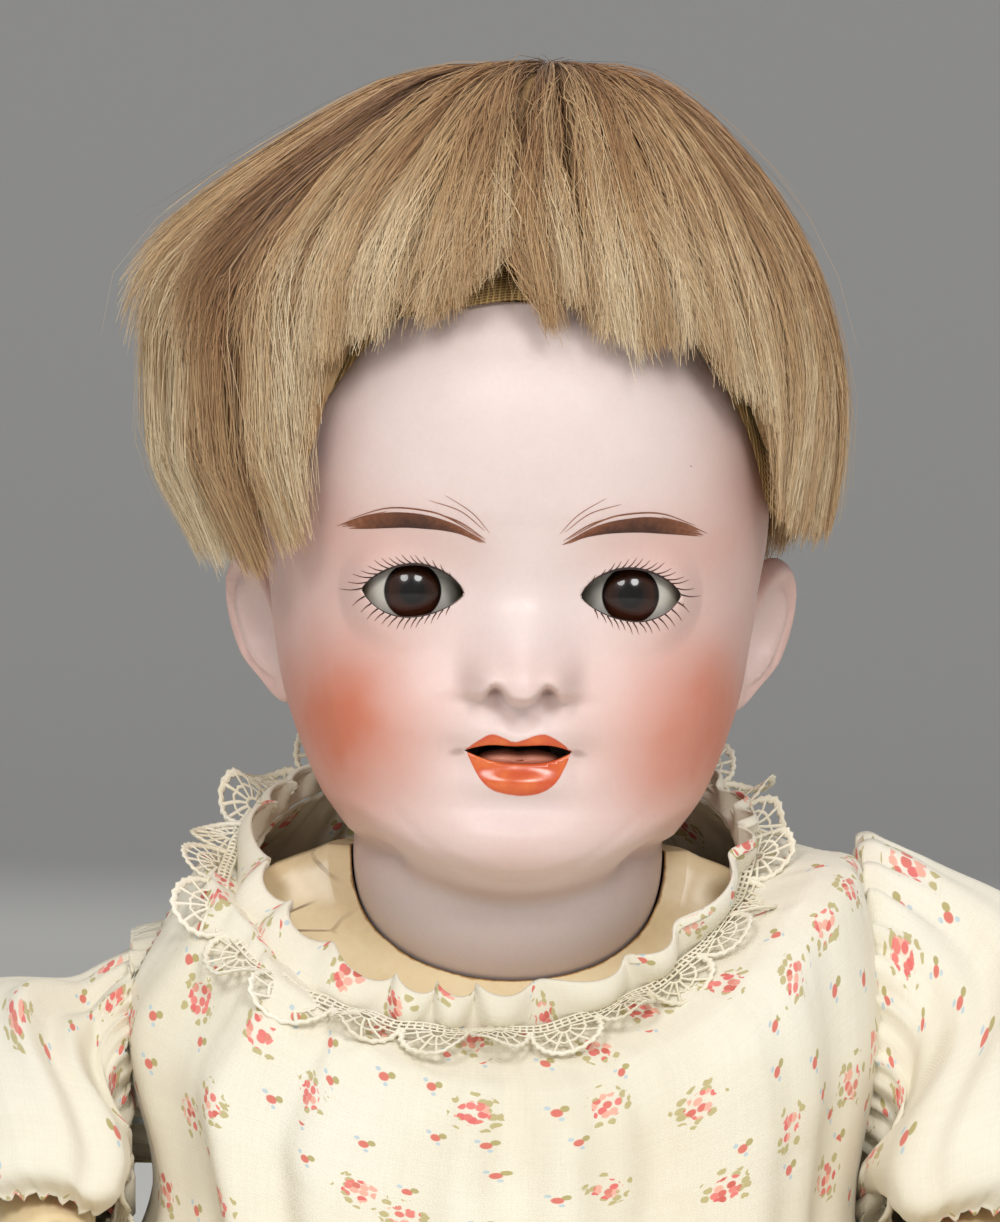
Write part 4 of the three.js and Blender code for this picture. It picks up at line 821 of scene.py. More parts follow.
def strandPiece(name, count, dice, inner, outer, finish, loose=0.0, span=(0, tau), gather=1.0):
    steps = wig["steps"]
    lockDice = np.random.default_rng(wig["lockSeed"])  # every layer has the same locks
    mesh, which, side, row = ribbonMesh(name, count, steps)
    k = np.linspace(0, 1, steps + 1)[None, :]
    a0 = dice.uniform(*span, count)
    lockAt, tuftAt = (np.sort(lockDice.uniform(0, tau, wig[part])) for part in ("locks", "tufts"))
    lock = np.argmin(np.abs(np.angle(np.exp(1j * (a0[:, None] - lockAt[None, :])))), 1)
    tuft = np.argmin(np.abs(np.angle(np.exp(1j * (a0[:, None] - tuftAt[None, :])))), 1)
    toLock = np.angle(np.exp(1j * (lockAt[lock] - a0)))
    toTuft = np.angle(np.exp(1j * (tuftAt[tuft] - a0)))
    edge = np.clip(np.abs(toLock) * wig["locks"] / math.pi, 0, 1)
    lockTint, lockCut, lockIn = (lockDice.normal(0, w, wig["locks"]) for w in (0.1, 2.0, 0.12))
    lockSway, lockPhase = lockDice.normal(0, 0.05, wig["locks"]), lockDice.uniform(0, tau, wig["locks"])
    flip = (np.cos(a0) < -0.72) & (dice.random(count) < 0.3)  # short ends that stand off the left side
    short = (dice.random(count) < 0.2) | flip
    reach = np.where(flip, dice.uniform(0.64, 0.8, count),
                     np.where(short, dice.uniform(0.6, 0.96, count), 1.0))
    root = dice.uniform(0.0, 0.62, count) * np.where(short, 0.55, 1)
    t = root[:, None] + (reach - root)[:, None] * k
    wander, begin = dice.normal(0, 0.03, count)[:, None], dice.uniform(0, tau, count)[:, None]
    sway = lockSway[lock][:, None] * np.sin(np.pi * t) + 0.02 * np.sin(9 * t + lockPhase[lock][:, None])
    sway = sway + wander * np.sin(2.2 * np.pi * k + begin)
    a = (a0[:, None] + gather * (0.46 * toLock[:, None] + 0.3 * toTuft[:, None]) * np.clip(t, 0, 1) ** 1.6
         + sway + loose * dice.normal(0, 0.06, count)[:, None] * k)
    cut = (cutLine(turned(a[:, -1])) + lockCut[lock] + dice.normal(0, 1.4, count)
           + 5 * dice.random(count) ** 6 - 2.5 * dice.random(count) ** 8)
    end = inner + (outer - inner) * dice.random(count) ** 0.6 + lockIn[lock] * (outer - inner > 0.1)
    under = np.where(root < 0.3, 0.9, 0.9 - 1.2 * (root - 0.3))
    under = np.minimum(under, end)[:, None]
    s = (under + (np.clip(end, 0.12, outer + 0.04)[:, None] - under) * ease(k, 0, 0.4)
         + 0.05 * short[:, None] * k ** 3)
    s = (s + flip[:, None] * dice.uniform(0.0, 0.2, count)[:, None] * k ** 2
         - 0.05 * (edge ** 2)[:, None] * np.sin(np.pi * k))
    s = s + loose * (np.abs(dice.normal(0, 0.12, count))[:, None] * k ** 2 + 0.03)
    p = wigPoint(a, t, s, cut[:, None])
    ahead = unit(np.gradient(p, axis=1))
    out = unit(p - np.array([0, 2, 226.0]))
    over = unit(np.cross(ahead, out))
    roll = dice.uniform(-1.25, 1.25, count)[:, None, None]
    lean = over * np.cos(roll) + unit(np.cross(over, ahead)) * np.sin(roll)
    half = ((wig["wide"] / 2) * (0.75 + 0.5 * dice.random(count))[:, None] * (1 - 0.65 * k ** 3)
            * (0.6 if loose else 1))
    points = p[which, row] + lean[which, row] * (np.where(side == 0, -1, 1) * half[which, row])[:, None]
    front = np.clip(np.sin(a), 0, 1)
    # Painted highlight: a paler band across the front fringe (front times the bell on t)
    pale = (0.22 + 0.46 * np.clip(t, 0, 1) ** 1.6 + 0.2 * np.clip(-np.cos(a), 0, 1) * t
            + 0.1 * front * bell(t, 0.84, 0.08))
    # Painted shade: strands near the edges of a lock are darker
    pale = (pale + lockTint[lock][:, None] * (0.5 + 0.5 * k) + dice.normal(0, 0.06, count)[:, None]
            - 0.16 * (edge ** 3)[:, None])
    # Painted shade: strands lying deeper under the top layers are darker
    pale = pale - 0.3 * np.clip(1 - s, 0, 1)
    settle(mesh, points, {"pale": np.clip(pale, 0, 1)[which, row],
                          "along": np.broadcast_to(k, t.shape)[which, row]})
    return piece(mesh, finish, "head", ["wig_hair"])


mohair, tree, shader = newFinish("mohairStrands", Roughness=0.42, Specular_IOR_Level=0.42,
                                 Sheen_Weight=0.12)
at = here(tree)
# The pale mark carries the strands' own tone with painted highlight and painted shade
tone = plus(tree, mark(tree, "pale"), jitter(tree, at, 60, 2, 0.22))
shade = ramp(tree, tone, [(0.0, (104, 72, 46)), (0.22, (154, 112, 72)), (0.5, (192, 158, 114)),
                          (0.75, (214, 190, 152)), (1.0, (234, 218, 186))])
wire(tree, shader, Base_Color=shade)
wire(tree, shader, Roughness=between(tree, mark(tree, "along"), 0, 1, 0.36, 0.52))

# Painted shade: the under layer is darker than the strands, for the shade between the locks
mohairUnder, tree, shader = newFinish("mohairUnder", Roughness=0.7)
streak = noise(tree, clothPlace(tree, 420, 3.5), 1, 3, 0.6, 0.4)
shade = ramp(tree, streak, [(0.3, (124, 90, 56)), (0.5, (160, 124, 80)), (0.7, (190, 156, 108))])
wire(tree, shader, Base_Color=shade)
wire(tree, shader, Roughness=between(tree, streak, 0.3, 0.7, 0.8, 0.55),
     Normal=bump(tree, streak, 0.6, 0.8))


def wigMass(u, v):
    a = u * tau
    near = np.stack([cutLine(turned(a + math.radians(d))) for d in (-9, -5, 0, 5, 9)])
    t = np.clip(v / 0.92, 0, 1) * 0.965
    s = (0.88 - 0.22 * ease(t, 0.35, 0.95)) * (1 - 0.98 * ease(v, 0.92, 1))
    lock = 1 + 0.03 * np.sin(37 * a + 3 * np.sin(5 * a)) * t
    return wigPoint(a, t, s * lock, near.max(0) + 9), {}


def wigNet(u, v):
    a = u * tau
    cut = netLine(turned(a))
    t = 0.02 + 0.98 * v
    low = np.minimum(71.9, 74 - (74 - cut) * t ** 2)
    x, y = headSection(a, low, 2.4)
    return np.stack([x, y, low + head["eyeLine"]], 1), {}


netLine = curve([[-20, 14], [25, 16], [36, 34], [44, 46], [55, 48.5], [75, 50.5], [91, 52.3], [105, 51],
                 [118, 49.5], [128, 47], [138, 34], [152, 16], [180, 12], [230, -2], [270, -8], [310, -2],
                 [340, 14], [380, 16]])
netFinish, tree, shader = newFinish("wigNet", Roughness=0.8)
place = clothPlace(tree, 300, 110)
weave = useGroup(tree, weaveGroup, {"Place": place, "Thread": 1.7})
grid = add(tree, "ShaderNodeSeparateXYZ", {0: place})
bars = [calc(tree, "ABSOLUTE", calc(tree, "SINE", times(tree, grid.outputs[i], tau / 2.6))) for i in (0, 1)]
netBars = calc(tree, "MINIMUM", bars[0], bars[1])
shade = ramp(tree, netBars, [(0.1, (240, 206, 136)), (0.45, (206, 166, 100)), (0.7, (150, 112, 64))])
wire(tree, shader, Base_Color=shade)
wire(tree, shader, Roughness=between(tree, weave.outputs["Slub"], 0.6, 1.4, 0.7, 0.9),
     Normal=bump(tree, minus(tree, 1.0, netBars), 0.8, 0.4))
piece(gridSheet("wig_net", 160, 60, wigNet, joined=True), netFinish, "head", ["wig_cap"])
piece(gridSheet("wig_mass", 240, 70, wigMass, joined=True), mohairUnder, "head", ["wig_hair"])
for i, (inner, outer) in enumerate(wig["layers"]):
    strandPiece(f"wig_strands_{i + 1}", wig["strands"], np.random.default_rng(20 + i), inner, outer, mohair)
strandPiece("wig_flyaways", wig["flyaways"], np.random.default_rng(31), 0.97, 1.02, mohair, loose=1.0)
strandPiece("wig_crown", wig["crown"], np.random.default_rng(33), 0.84, 1.0, mohair,
            span=(math.radians(78), math.radians(103)), gather=0.25)
print("wig")

# Composition body
body = {"cup": 28.9, "lip": 32.3, "rimTilt": 40, "backTilt": 12, "rimDrop": 5,
        "armVoxel": 0.75, "legVoxel": 1.0, "smooth": 6}
torsoStops = [[0, 32, 27, 30], [3.2, 39, 34, 38], [12, 43, 40, 43], [30, 46, 44, 46], [56, 50, 48, 45],
              [82, 50, 45, 43], [102, 50.5, 39, 43], [114, 50.5, 31, 43], [124, 50.2, 23, 44.2],
              [133, 49.6, 13, 44], [141, 48.2, 6, 42.5], [147, 44.2, 4, 39.5], [152, 31, 3, 33]]
torsoWide, torsoFront, torsoBack = (curve([[s[0], s[i]] for s in torsoStops]) for i in (1, 2, 3))


def torsoReach(a, z):
    n = np.where(z < 60, 1.0, 0.9)
    wide, deep = torsoWide(z), np.where(np.sin(a) > 0, torsoFront(z), torsoBack(z))
    r = (np.abs(np.cos(a) / wide) ** (2 / n) + np.abs(np.sin(a) / deep) ** (2 / n)) ** (-n / 2)
    ball = np.sqrt(np.maximum(body["lip"] ** 2 - (z - head["neckZ"]) ** 2, 0.04))
    return softMax(r, ball, 1.6)


def torsoPoint(a, z):
    r = torsoReach(a, z)
    return np.stack([r * np.cos(a), -r * np.sin(a), z], -1)


def rimHeight(a):
    zs = np.linspace(90, 156, 700)
    found = np.full(a.shape, 152.0)
    for z in zs[::-1]:
        p = torsoPoint(a, np.full_like(a, z)) - np.array([0, 0, head["neckZ"]])
        for tilt in (body["rimTilt"], -body["backTilt"]):
            up = np.array([0, -math.sin(math.radians(tilt)), math.cos(math.radians(tilt))])
            h = p @ up
            r = np.linalg.norm(p - h[:, None] * up, axis=1)
            inside = (h > -body["rimDrop"]) & (r < body["lip"] + 0.6 + 4.4 * (h + 5) / 70)
            found = np.where(inside, z, found)
    return found


def torsoShell(u, v):
    a = u * tau
    steps = np.unique(np.round(a, 6))
    rims = np.interp(a, steps, rimHeight(steps))
    z = 1.6 + (rims - 1.6) * np.clip(v / 0.8, 0, 1) ** 0.9
    p = torsoPoint(a, z)
    p[v < 0.012] = p[v < 0.012] * np.array([0.86, 0.86, 0])
    way = unit(p - np.array([0, 0, head["neckZ"]]))
    inner = np.array([0, 0, head["neckZ"]]) + way * body["cup"]
    k = ease(v, 0.8, 0.88)
    p = p * (1 - k[:, None]) + inner * k[:, None] + way * (1.1 * np.sin(np.pi * k))[:, None]
    down = ease(v, 0.88, 1)[:, None] * 0.5
    dive = unit(way * (1 - down) + np.array([0, 0, -1.0]) * down)
    p = np.where((v > 0.88)[:, None], np.array([0, 0, head["neckZ"]]) + dive * body["cup"], p)
    return p, {"rim": bell(v, 0.884, 0.013) + 0.9 * (v > 0.885)}


def tube(stops, columns=36, rows=60):
    n = len(stops) - 1
    fx, fy, fz, fr, ff = (curve([[i / n, (s + [1.0])[j]] for i, s in enumerate(stops)]) for j in range(5))

    def place(u, v):
        t = np.clip((v - 0.06) / 0.88, 0, 1)
        cap = np.where(v < 0.06, (0.06 - v) / 0.06, np.where(v > 0.94, (v - 0.94) / 0.06, 0))
        at = np.stack([fx(t), fy(t), fz(t)], 1)
        way = unit(np.stack([f(t + 0.01) - f(t - 0.01) for f in (fx, fy, fz)], 1))
        over = unit(np.array([0, 0, 1.0]) - way * way[:, 2:3])
        side = np.cross(way, over)
        r = fr(t) * np.sqrt(np.maximum(1 - cap ** 2, 0))
        at = at + way * (np.where(v < 0.5, -1, 1) * cap * fr(t) * 0.6)[:, None]
        c, s = np.cos(u * tau), np.sin(u * tau)
        return at + side * (r * ff(t) * c)[:, None] + over * (r * s)[:, None], {}
    return gridSheet("tube", columns, rows, place, outward=True)


def ballMesh(at, radius):
    bm = bmesh.new()
    bmesh.ops.create_icosphere(bm, subdivisions=4, radius=radius * mm)
    bmesh.ops.translate(bm, vec=Vector(at) * mm, verts=bm.verts[:])
    return meshFrom(bm, "ball")


# Several closed shapes melted into one skin, then creased round its path
def meltedPiece(name, parts, side, voxel, smoothing, path, creases, finish, bodyName, nodes):
    bm = bmesh.new()
    for m in parts:
        bm.from_mesh(m)
    raw = meshFrom(bm, name + "Raw")
    temp = bpy.data.objects.new(name + "Raw", raw)
    scene.collection.objects.link(temp)
    mod = temp.modifiers.new("melt", "REMESH")
    mod.mode = "VOXEL"
    mod.voxel_size = voxel * mm
    mesh = bake(temp, name)
    bpy.data.objects.remove(temp)
    bm = openMesh(mesh)
    for _ in range(smoothing):
        bmesh.ops.smooth_vert(bm, verts=bm.verts[:], factor=0.5, use_axis_x=True, use_axis_y=True,
                              use_axis_z=True)
    keepMesh(bm, mesh)
    points = spread(mesh) / mm
    n = len(path) - 1
    t = np.linspace(0, 1, 300)
    line = np.stack([curve([[i / n, s[j]] for i, s in enumerate(path)])(t) for j in range(3)], 1)
    near = np.concatenate([np.argmin(((chunk[:, None] - line[None]) ** 2).sum(2), 1)
                           for chunk in np.array_split(points, 40)])
    dent = sum(deep * bell(t[near], where, width) for where, deep, width in creases)
    away = unit(points - line[near])
    points = points - away * dent[:, None]
    if side < 0:
        points[:, 0] *= -1
        settle(mesh, points)
        flipFaces(mesh)
    # the creases are marked rim, which darkens the colour there
    settle(mesh, points, {"rim": np.clip(dent, 0, 1) * 0.45})
    return piece(mesh, finish, bodyName, nodes)


composition, tree, shader = newFinish("paintedComposition", Roughness=0.4, Coat_Weight=0.25,
                                      Coat_Roughness=0.25)
at = here(tree)
tone = useGroup(tree, mottleGroup, {"Place": at, "Cloud": 26.0, "Grain": 500.0})
skin = ramp(tree, tone.outputs["Tone"], [(0.3, (222, 196, 148)), (0.5, (234, 212, 168)),
                                         (0.7, (240, 222, 184))])
crack = cells(tree, stretched(tree, at, (1, 1, 1.4)), 46, 1.0, "DISTANCE_TO_EDGE").outputs["Distance"]
crackMask = times(tree, between(tree, crack, 0.006, 0.018, 1.0, 0.0),
                  between(tree, noise(tree, at, 30, 3), 0.52, 0.6))
skin = blendColour(tree, times(tree, crackMask, 0.8), skin, (118, 84, 50))
# Tan, then dark brown, where the rim mark is strong: chipped paint on the neck cup's rim, and darker colour
# inside the cup and in the limbs' creases
chipsAndCreases = plus(tree, mark(tree, "rim"), jitter(tree, at, 260, 4, 0.7))
skin = blendColour(tree, between(tree, chipsAndCreases, 0.42, 0.62), skin, (176, 132, 74))
skin = blendColour(tree, between(tree, chipsAndCreases, 0.66, 0.84), skin, (78, 56, 34))
dots = useGroup(tree, speckGroup, {"Place": at, "Scale": 120.0, "Size": 0.05, "Few": 0.85}).outputs[0]
wire(tree, shader, Base_Color=blendColour(tree, times(tree, dots, 0.6), skin, (120, 88, 56)))
wire(tree, shader, Roughness=between(tree, chipsAndCreases, 0.4, 0.7, 0.38, 0.75))
height = minus(tree, times(tree, tone.outputs["Height"], 0.3), crackMask)
wire(tree, shader, Normal=bump(tree, height, 0.4, 0.25))
piece(gridSheet("composition_torso", 240, 130, torsoShell, joined=True, outward=True), composition, "torso",
      ["torso_shell"])

armHead = [[46.4, 10, 116, 13.4], [52, 10, 116, 13.6], [57, 10, 115.6, 12.8]]
legHead = [[41, -4, 30, 22.5], [48, -4, 30, 25], [55, -5, 30, 23.5]]
armStops = [[56, 10, 115, 12.5], [68, 8.5, 112, 12.6], [80, 2, 101.5, 12.2], [86, -10, 91, 12.2],
            [85.5, -25, 85.2, 11.4], [83, -39, 81.4, 9.3], [81, -47.5, 79.6, 7.6],
            [80, -53.5, 78.5, 7.8, 0.85], [78.5, -61.5, 77, 8.4, 0.6], [77.5, -68.5, 75.8, 6.5, 0.6]]
fingers = [[76.2, -67.5, 80.8, 74, -81, 78.8, 2.6], [76.6, -67.5, 77.4, 73.5, -84, 74.4, 2.7],
           [77, -66.5, 74, 74, -82.5, 70, 2.6], [77.2, -65, 71.2, 75, -78.5, 66, 2.4],
           [75, -60.5, 79.6, 69.5, -69, 83, 2.8]]
legStops = [[60, -4, 30, 21], [61, -28, 32, 22.5], [62, -52, 34, 21.5], [61, -72, 32, 19.5],
            [58, -90, 24.5, 17], [54, -103, 18, 14.2], [51, -112, 13.5, 12.4]]
footStops = [[51.5, -111, 12.6, 12.3, 0.9], [48, -120, 16, 10.6, 1.05], [43.5, -129, 22.5, 8.8, 1.3],
             [40, -135, 28.5, 7.2, 1.6], [38.4, -138, 31.5, 5.4, 1.9]]
toes = [[8.2, 2.6, 4.4], [2.6, 3.4, 3.4], [-1.8, 2.6, 3.1], [-5.8, 1.2, 2.9], [-9.3, -0.8, 2.6]]
footAim = Vector((-0.38, -0.74, 0.55)).normalized()
footAcross = footAim.cross(Vector((0, 0, 1))).normalized()
armCreases = [(0.36, 1.0, 0.014), (0.66, 0.9, 0.011), (0.5, 0.5, 0.012)]
legCreases = [(0.3, 1.3, 0.02), (0.62, 1.1, 0.017), (0.9, 1.0, 0.016)]
for side, name in sides:
    parts = [tube(armStops, 40, 80), tube(armHead, 40, 24)]
    for x0, y0, z0, x1, y1, z1, r in fingers:
        parts.append(tube([[x0 + 0.4, y0 + 1, z0, r * 0.95],
                           [(x0 + x1) / 2 + 0.9, (y0 + y1) / 2, (z0 + z1) / 2 + 0.7, r * 1.02],
                           [x1, y1, z1, r * 0.86]], 16, 20))
    meltedPiece(f"arm_skin_{name}", parts, side, body["armVoxel"], body["smooth"], armStops, armCreases,
                composition, f"arm_{name}", [f"arm_{name}"])
    parts = [tube(legStops, 44, 80), tube(footStops, 36, 40), ballMesh((60, -4, 30), 20.6),
             ballMesh((51.5, -111, 12.5), 12.1), tube(legHead, 44, 24)]
    for across, ahead, r in toes:
        at = Vector((38.4, -138, 31.5)) + footAcross * across + footAim * ahead
        parts.append(ballMesh(at, r))
    meltedPiece(f"leg_skin_{name}", parts, side, body["legVoxel"], body["smooth"], legStops, legCreases,
                composition, f"leg_{name}", [f"leg_{name}"])
print("body")

# Printed cotton
# Ditsy sprigs on cream: loose rose clusters with leaves, and single buds with pale dots, from cloth
# millimetres
cotton = {"cluster": 21.0, "petal": 1.75, "bud": 10.5, "thread": 0.52}
printGroup, ins, outs = newGroup("ditsySprigs", {"Cloth": (0.8, 0.76, 0.66, 1)}, ("Colour",), "Color")
g, flatPlace = printGroup, ins["Place"]
cluster = cells(g, flatPlace, 1 / cotton["cluster"], 0.75, flat=True)
spot = times(g, cluster.outputs["Distance"], cotton["cluster"])
ragged = plus(g, spot, jitter(g, flatPlace, 0.45, 2, 3.4))
petal = cells(g, flatPlace, 1 / cotton["petal"], 0.95, flat=True)
petalDot = between(g, times(g, petal.outputs["Distance"], cotton["petal"]), 0.68, 1.0, 1.0, 0.0)
pick = add(g, "ShaderNodeSeparateColor", {0: petal.outputs["Color"]})
rose = times(g, calc(g, "LESS_THAN", ragged, 2.8), petalDot)
roseTone = ramp(g, pick.outputs[0], [(0.0, (222, 82, 84)), (0.35, (234, 122, 114)), (0.6, (204, 66, 52)),
                                     (0.8, (240, 170, 150))])
leaf = times(g, times(g, calc(g, "GREATER_THAN", ragged, 2.8), calc(g, "LESS_THAN", ragged, 4.7)),
             times(g, petalDot, calc(g, "GREATER_THAN", pick.outputs[1], 0.56)))
colourNow = blendColour(g, times(g, rose, 0.88), ins["Cloth"], roseTone)
colourNow = blendColour(g, times(g, leaf, 0.75), colourNow, (176, 162, 90))
budMarks = (((5.3, 7.7, 0), 0.95, (214, 88, 74), 0.85), ((6.6, 8.5, 0), 0.75, (164, 150, 72), 0.8),
            ((4.0, 8.9, 0), 0.5, (184, 202, 210), 0.85), ((5.9, 6.2, 0), 0.45, (184, 202, 210), 0.85))
for move, size, shade, share in budMarks:
    shifted = add(g, "ShaderNodeMapping", {"Vector": flatPlace, "Location": move}).outputs[0]
    bud = cells(g, shifted, 1 / cotton["bud"], 0.8, flat=True)
    chance = add(g, "ShaderNodeSeparateColor", {0: bud.outputs["Color"]}).outputs[0]
    kept = calc(g, "GREATER_THAN", chance, 0.45)
    shape = between(g, times(g, bud.outputs["Distance"], cotton["bud"]), size * 0.8, size * 1.15, 1.0, 0.0)
    clear = calc(g, "GREATER_THAN", spot, 6.4)
    colourNow = blendColour(g, times(g, times(g, shape, share), times(g, kept, clear)), colourNow, shade)
g.links.new(colourNow, outs["Colour"])


def printedCotton(name, seams=()):
    finish, tree, shader = newFinish(name, Roughness=0.86, Sheen_Weight=0.15, Specular_IOR_Level=0.25)
    place = clothPlace(tree, 1000, 1000)
    weave = useGroup(tree, weaveGroup, {"Place": place, "Thread": cotton["thread"]})
    cream = ramp(tree, noise(tree, here(tree), 18, 4),
                 [(0.3, (226, 217, 194)), (0.55, (236, 230, 212)), (0.75, (240, 236, 222))])
    cream = blendColour(tree, between(tree, weave.outputs["Slub"], 0.75, 1.3, 0.12, 0.0), cream,
                        (206, 192, 160))
    shade = useGroup(tree, printGroup, {"Place": place, "Cloth": cream}).outputs[0]
    height = weave.outputs["Height"]
    row = add(tree, "ShaderNodeSeparateXYZ", {0: place})
    for line in seams:  # running stitches along a line of the cloth
        dash = calc(tree, "GREATER_THAN", calc(tree, "SINE", times(tree, row.outputs[0], tau / 2.2)), -0.3)
        near = calc(tree, "ABSOLUTE", minus(tree, row.outputs[1], line))
        thread = times(tree, dash, calc(tree, "LESS_THAN", near, 0.22))
        shade = blendColour(tree, times(tree, thread, 0.6), shade, (214, 200, 168))
        height = plus(tree, height, times(tree, thread, 1.5))
    wire(tree, shader, Base_Color=shade, Normal=bump(tree, height, 0.35, 0.16))
    wire(tree, shader, Roughness=between(tree, weave.outputs["Slub"], 0.6, 1.4, 0.92, 0.78))
    return finish


# Dress
dress = {"columns": 380, "rows": 100, "wall": 0.5, "collar": 44.5, "yoke": 0.1, "folds": 13,
         "armhole": 23.6, "thigh": 58.0, "armX": 46, "armY": 10, "armZ": 116}
dressStops = [[0.1, [58, 56, 46, 48], [152, 149, 111.5, 148]],
              [0.18, [65, 62, 51, 53], [149, 139, 104, 136]],
              [0.30, [69.5, 71, 55, 56], [122, 121, 92, 116]],
              [0.50, [66.5, 65, 62.5, 58], [84, 86, 75, 84]],
              [0.72, [89, 87.5, 84.5, 66], [46, 46, 65.4, 45]], [1.0, [103, 103, 114, 75], [3, 3, 46, 3]]]
reachOf, heightOf = ([curve([[s[0], s[k][i]] for s in dressStops]) for i in range(4)] for k in (1, 2))


def collarPoint(a, r, h):
    tip = np.radians(30 + 10 * np.sin(a))
    x = r * np.cos(a) - 2
    y = -np.cos(tip) * r * np.sin(a) - np.sin(tip) * h
    z = head["neckZ"] - 1 + 2.2 * np.cos(a) - np.sin(tip) * r * np.sin(a) + np.cos(tip) * h
    return np.stack([x, y, z], -1)


def dressPoint(a, v):
    c, s = np.cos(a), np.sin(a)
    w = np.maximum(v, dress["yoke"])
    pickX = np.where(c > 0, reachOf[0](w), reachOf[1](w)), np.where(c > 0, heightOf[0](w), heightOf[1](w))
    pickY = np.where(s > 0, reachOf[2](w), reachOf[3](w)), np.where(s > 0, heightOf[2](w), heightOf[3](w))
    lap = np.where(s > 0, np.clip((w - 0.35) / 0.3, 0, 1), 0)
    x, y = pickX[0] * power(c, 0.88 - 0.22 * lap), -pickY[0] * power(s, 0.88 - 0.22 * lap)
    z = pickX[1] + (pickY[1] - pickX[1]) * np.abs(s) ** (2 - 1.5 * lap)
    calm = 1 - 0.85 * c ** 4 * np.clip((0.7 - w) / 0.2, 0, 1)
    fold = np.cos(dress["folds"] * a + 2.2 * np.sin(3 * a)) + 0.4 * np.cos((2 * dress["folds"] + 1) * a)
    out = (0.5 + 4.2 * w ** 1.3) * calm * fold
    soft = np.cos(15 * a + 2.6 * np.sin(3 * a + 0.6)) + 0.5 * np.cos(26 * a + 2.4 * np.sin(4 * a))
    out = out + 2.6 * calm * (0.6 + 0.4 * np.sin(5 * a + 1)) * soft * bell(w, 0.27, 0.15)
    pleat = np.cos(52 * a + 2.5 * np.sin(5 * a)) + 0.5 * np.cos(83 * a + 1.3 * np.sin(7 * a))
    gather = 0.6 * pleat * np.exp(-np.maximum(v - 0.06, 0) / 0.08) * ease(v, -0.02, 0.05)
    strip = np.degrees(np.angle(np.exp(1j * (a - 1.5 * math.pi)))) * 0.95
    out = (out + gather + 0.9 * ease(strip, -1.4, -0.6) * (1 - ease(strip, 11, 12))
           * (1 - ease(v, 0.56, 0.6)))
    out = out + 0.35 * bell(v, 0.975, 0.02)
    grow = 1 + out / np.maximum(np.hypot(x, y), 20)
    thigh = (np.where(x < 0, 6.4, 3.0) * bell(np.abs(x), dress["thigh"], 8)
             - np.where(x < 0, 2.0, 0.6) * bell(np.abs(x), 82, 5))
    thigh = thigh * ease(-y, 15, 35) * ease(w, 0.45, 0.65)  # the thighs lift the lap, the hands press it
    z = z + thigh
    # room at the sides for the right thigh and hand and for the left cuff at the ends of their swings
    side = bell(y, -71, 9) * ease(-x, 60, 68) * (1.5 * bell(z, 62, 4.5) - 3.0 * bell(z, 46.5, 5.5))
    side = side - 1.4 * bell(y, -23.4, 7) * bell(z, 77.6, 7) * ease(x, 55, 62)
    p = np.stack([x * grow + side, y * grow, z], -1)
    k = np.clip(v / dress["yoke"], 0, 1)[..., None]
    top = collarPoint(a, dress["collar"] + 0.6 * gather, 0.2 * gather)
    return np.where((v < dress["yoke"])[..., None], top * (1 - k) + p * k, p)


def dressSheet(u, v):
    p = dressPoint(u * tau - 0.5 * math.pi, v)
    return p, {"cloth": dressCut}


# Cut of the dress: a front panel and two panels on each side of the back, every one straight on its
# own middle
def dressCut(u, v, middle):
    k = np.clip(np.searchsorted(dressGores, middle) - 1, 0, len(dressGores) - 2)
    own = (dressGores[k] + dressGores[k + 1]) / 2
    return np.stack([(u - own) * np.interp(v, dressV, dressRound) + 83 * k,
                     np.interp(v, dressV, dressLong)], 1)


dressGores = np.array([0, 0.153, 0.306, 0.694, 0.847, 1])
dressV = np.linspace(0, 1, 60)
around = dressPoint(np.linspace(0, tau, 400)[None, :] + 0 * dressV[:, None],
                    np.repeat(dressV[:, None], 400, 1))
dressRound = np.maximum(np.linalg.norm(np.diff(around, axis=1), axis=2).sum(1), 400)
dressLong = np.concatenate([[0], np.cumsum(np.linalg.norm(np.diff(around, axis=0), axis=2).mean(1))])
mesh = gridSheet("dress_body", dress["columns"], dress["rows"], dressSheet, joined=True)
bm = openMesh(mesh)
holes = []
for f in bm.faces:
    p = f.calc_center_median() / mm
    if abs(p.x) > dress["armX"] and math.hypot(p.y - dress["armY"], p.z - dress["armZ"]) < dress["armhole"]:
        holes.append(f)
bmesh.ops.delete(bm, geom=holes, context="FACES")
edge = [v for v in bm.verts if v.is_boundary and abs(v.co.x) > dress["armX"] * mm]
for v in [v for v in edge if 0.09 < v.co.z < 0.142 and abs(v.co.y) < 0.04]:
    y, z = v.co.y / mm - dress["armY"], v.co.z / mm - dress["armZ"]
    k = dress["armhole"] / max(math.hypot(y, z), 1)
    v.co.y, v.co.z = (dress["armY"] + y * k) * mm, (dress["armZ"] + z * k) * mm
keepMesh(bm, mesh)
dressCotton = printedCotton("dressCotton", seams=(float(dressLong[-1]) - 7,))
dressPiece = piece(mesh, dressCotton, "torso",
                   ["dress_front", "dress_back_right", "dress_back_left"])
thicken(dressPiece, dress["wall"])

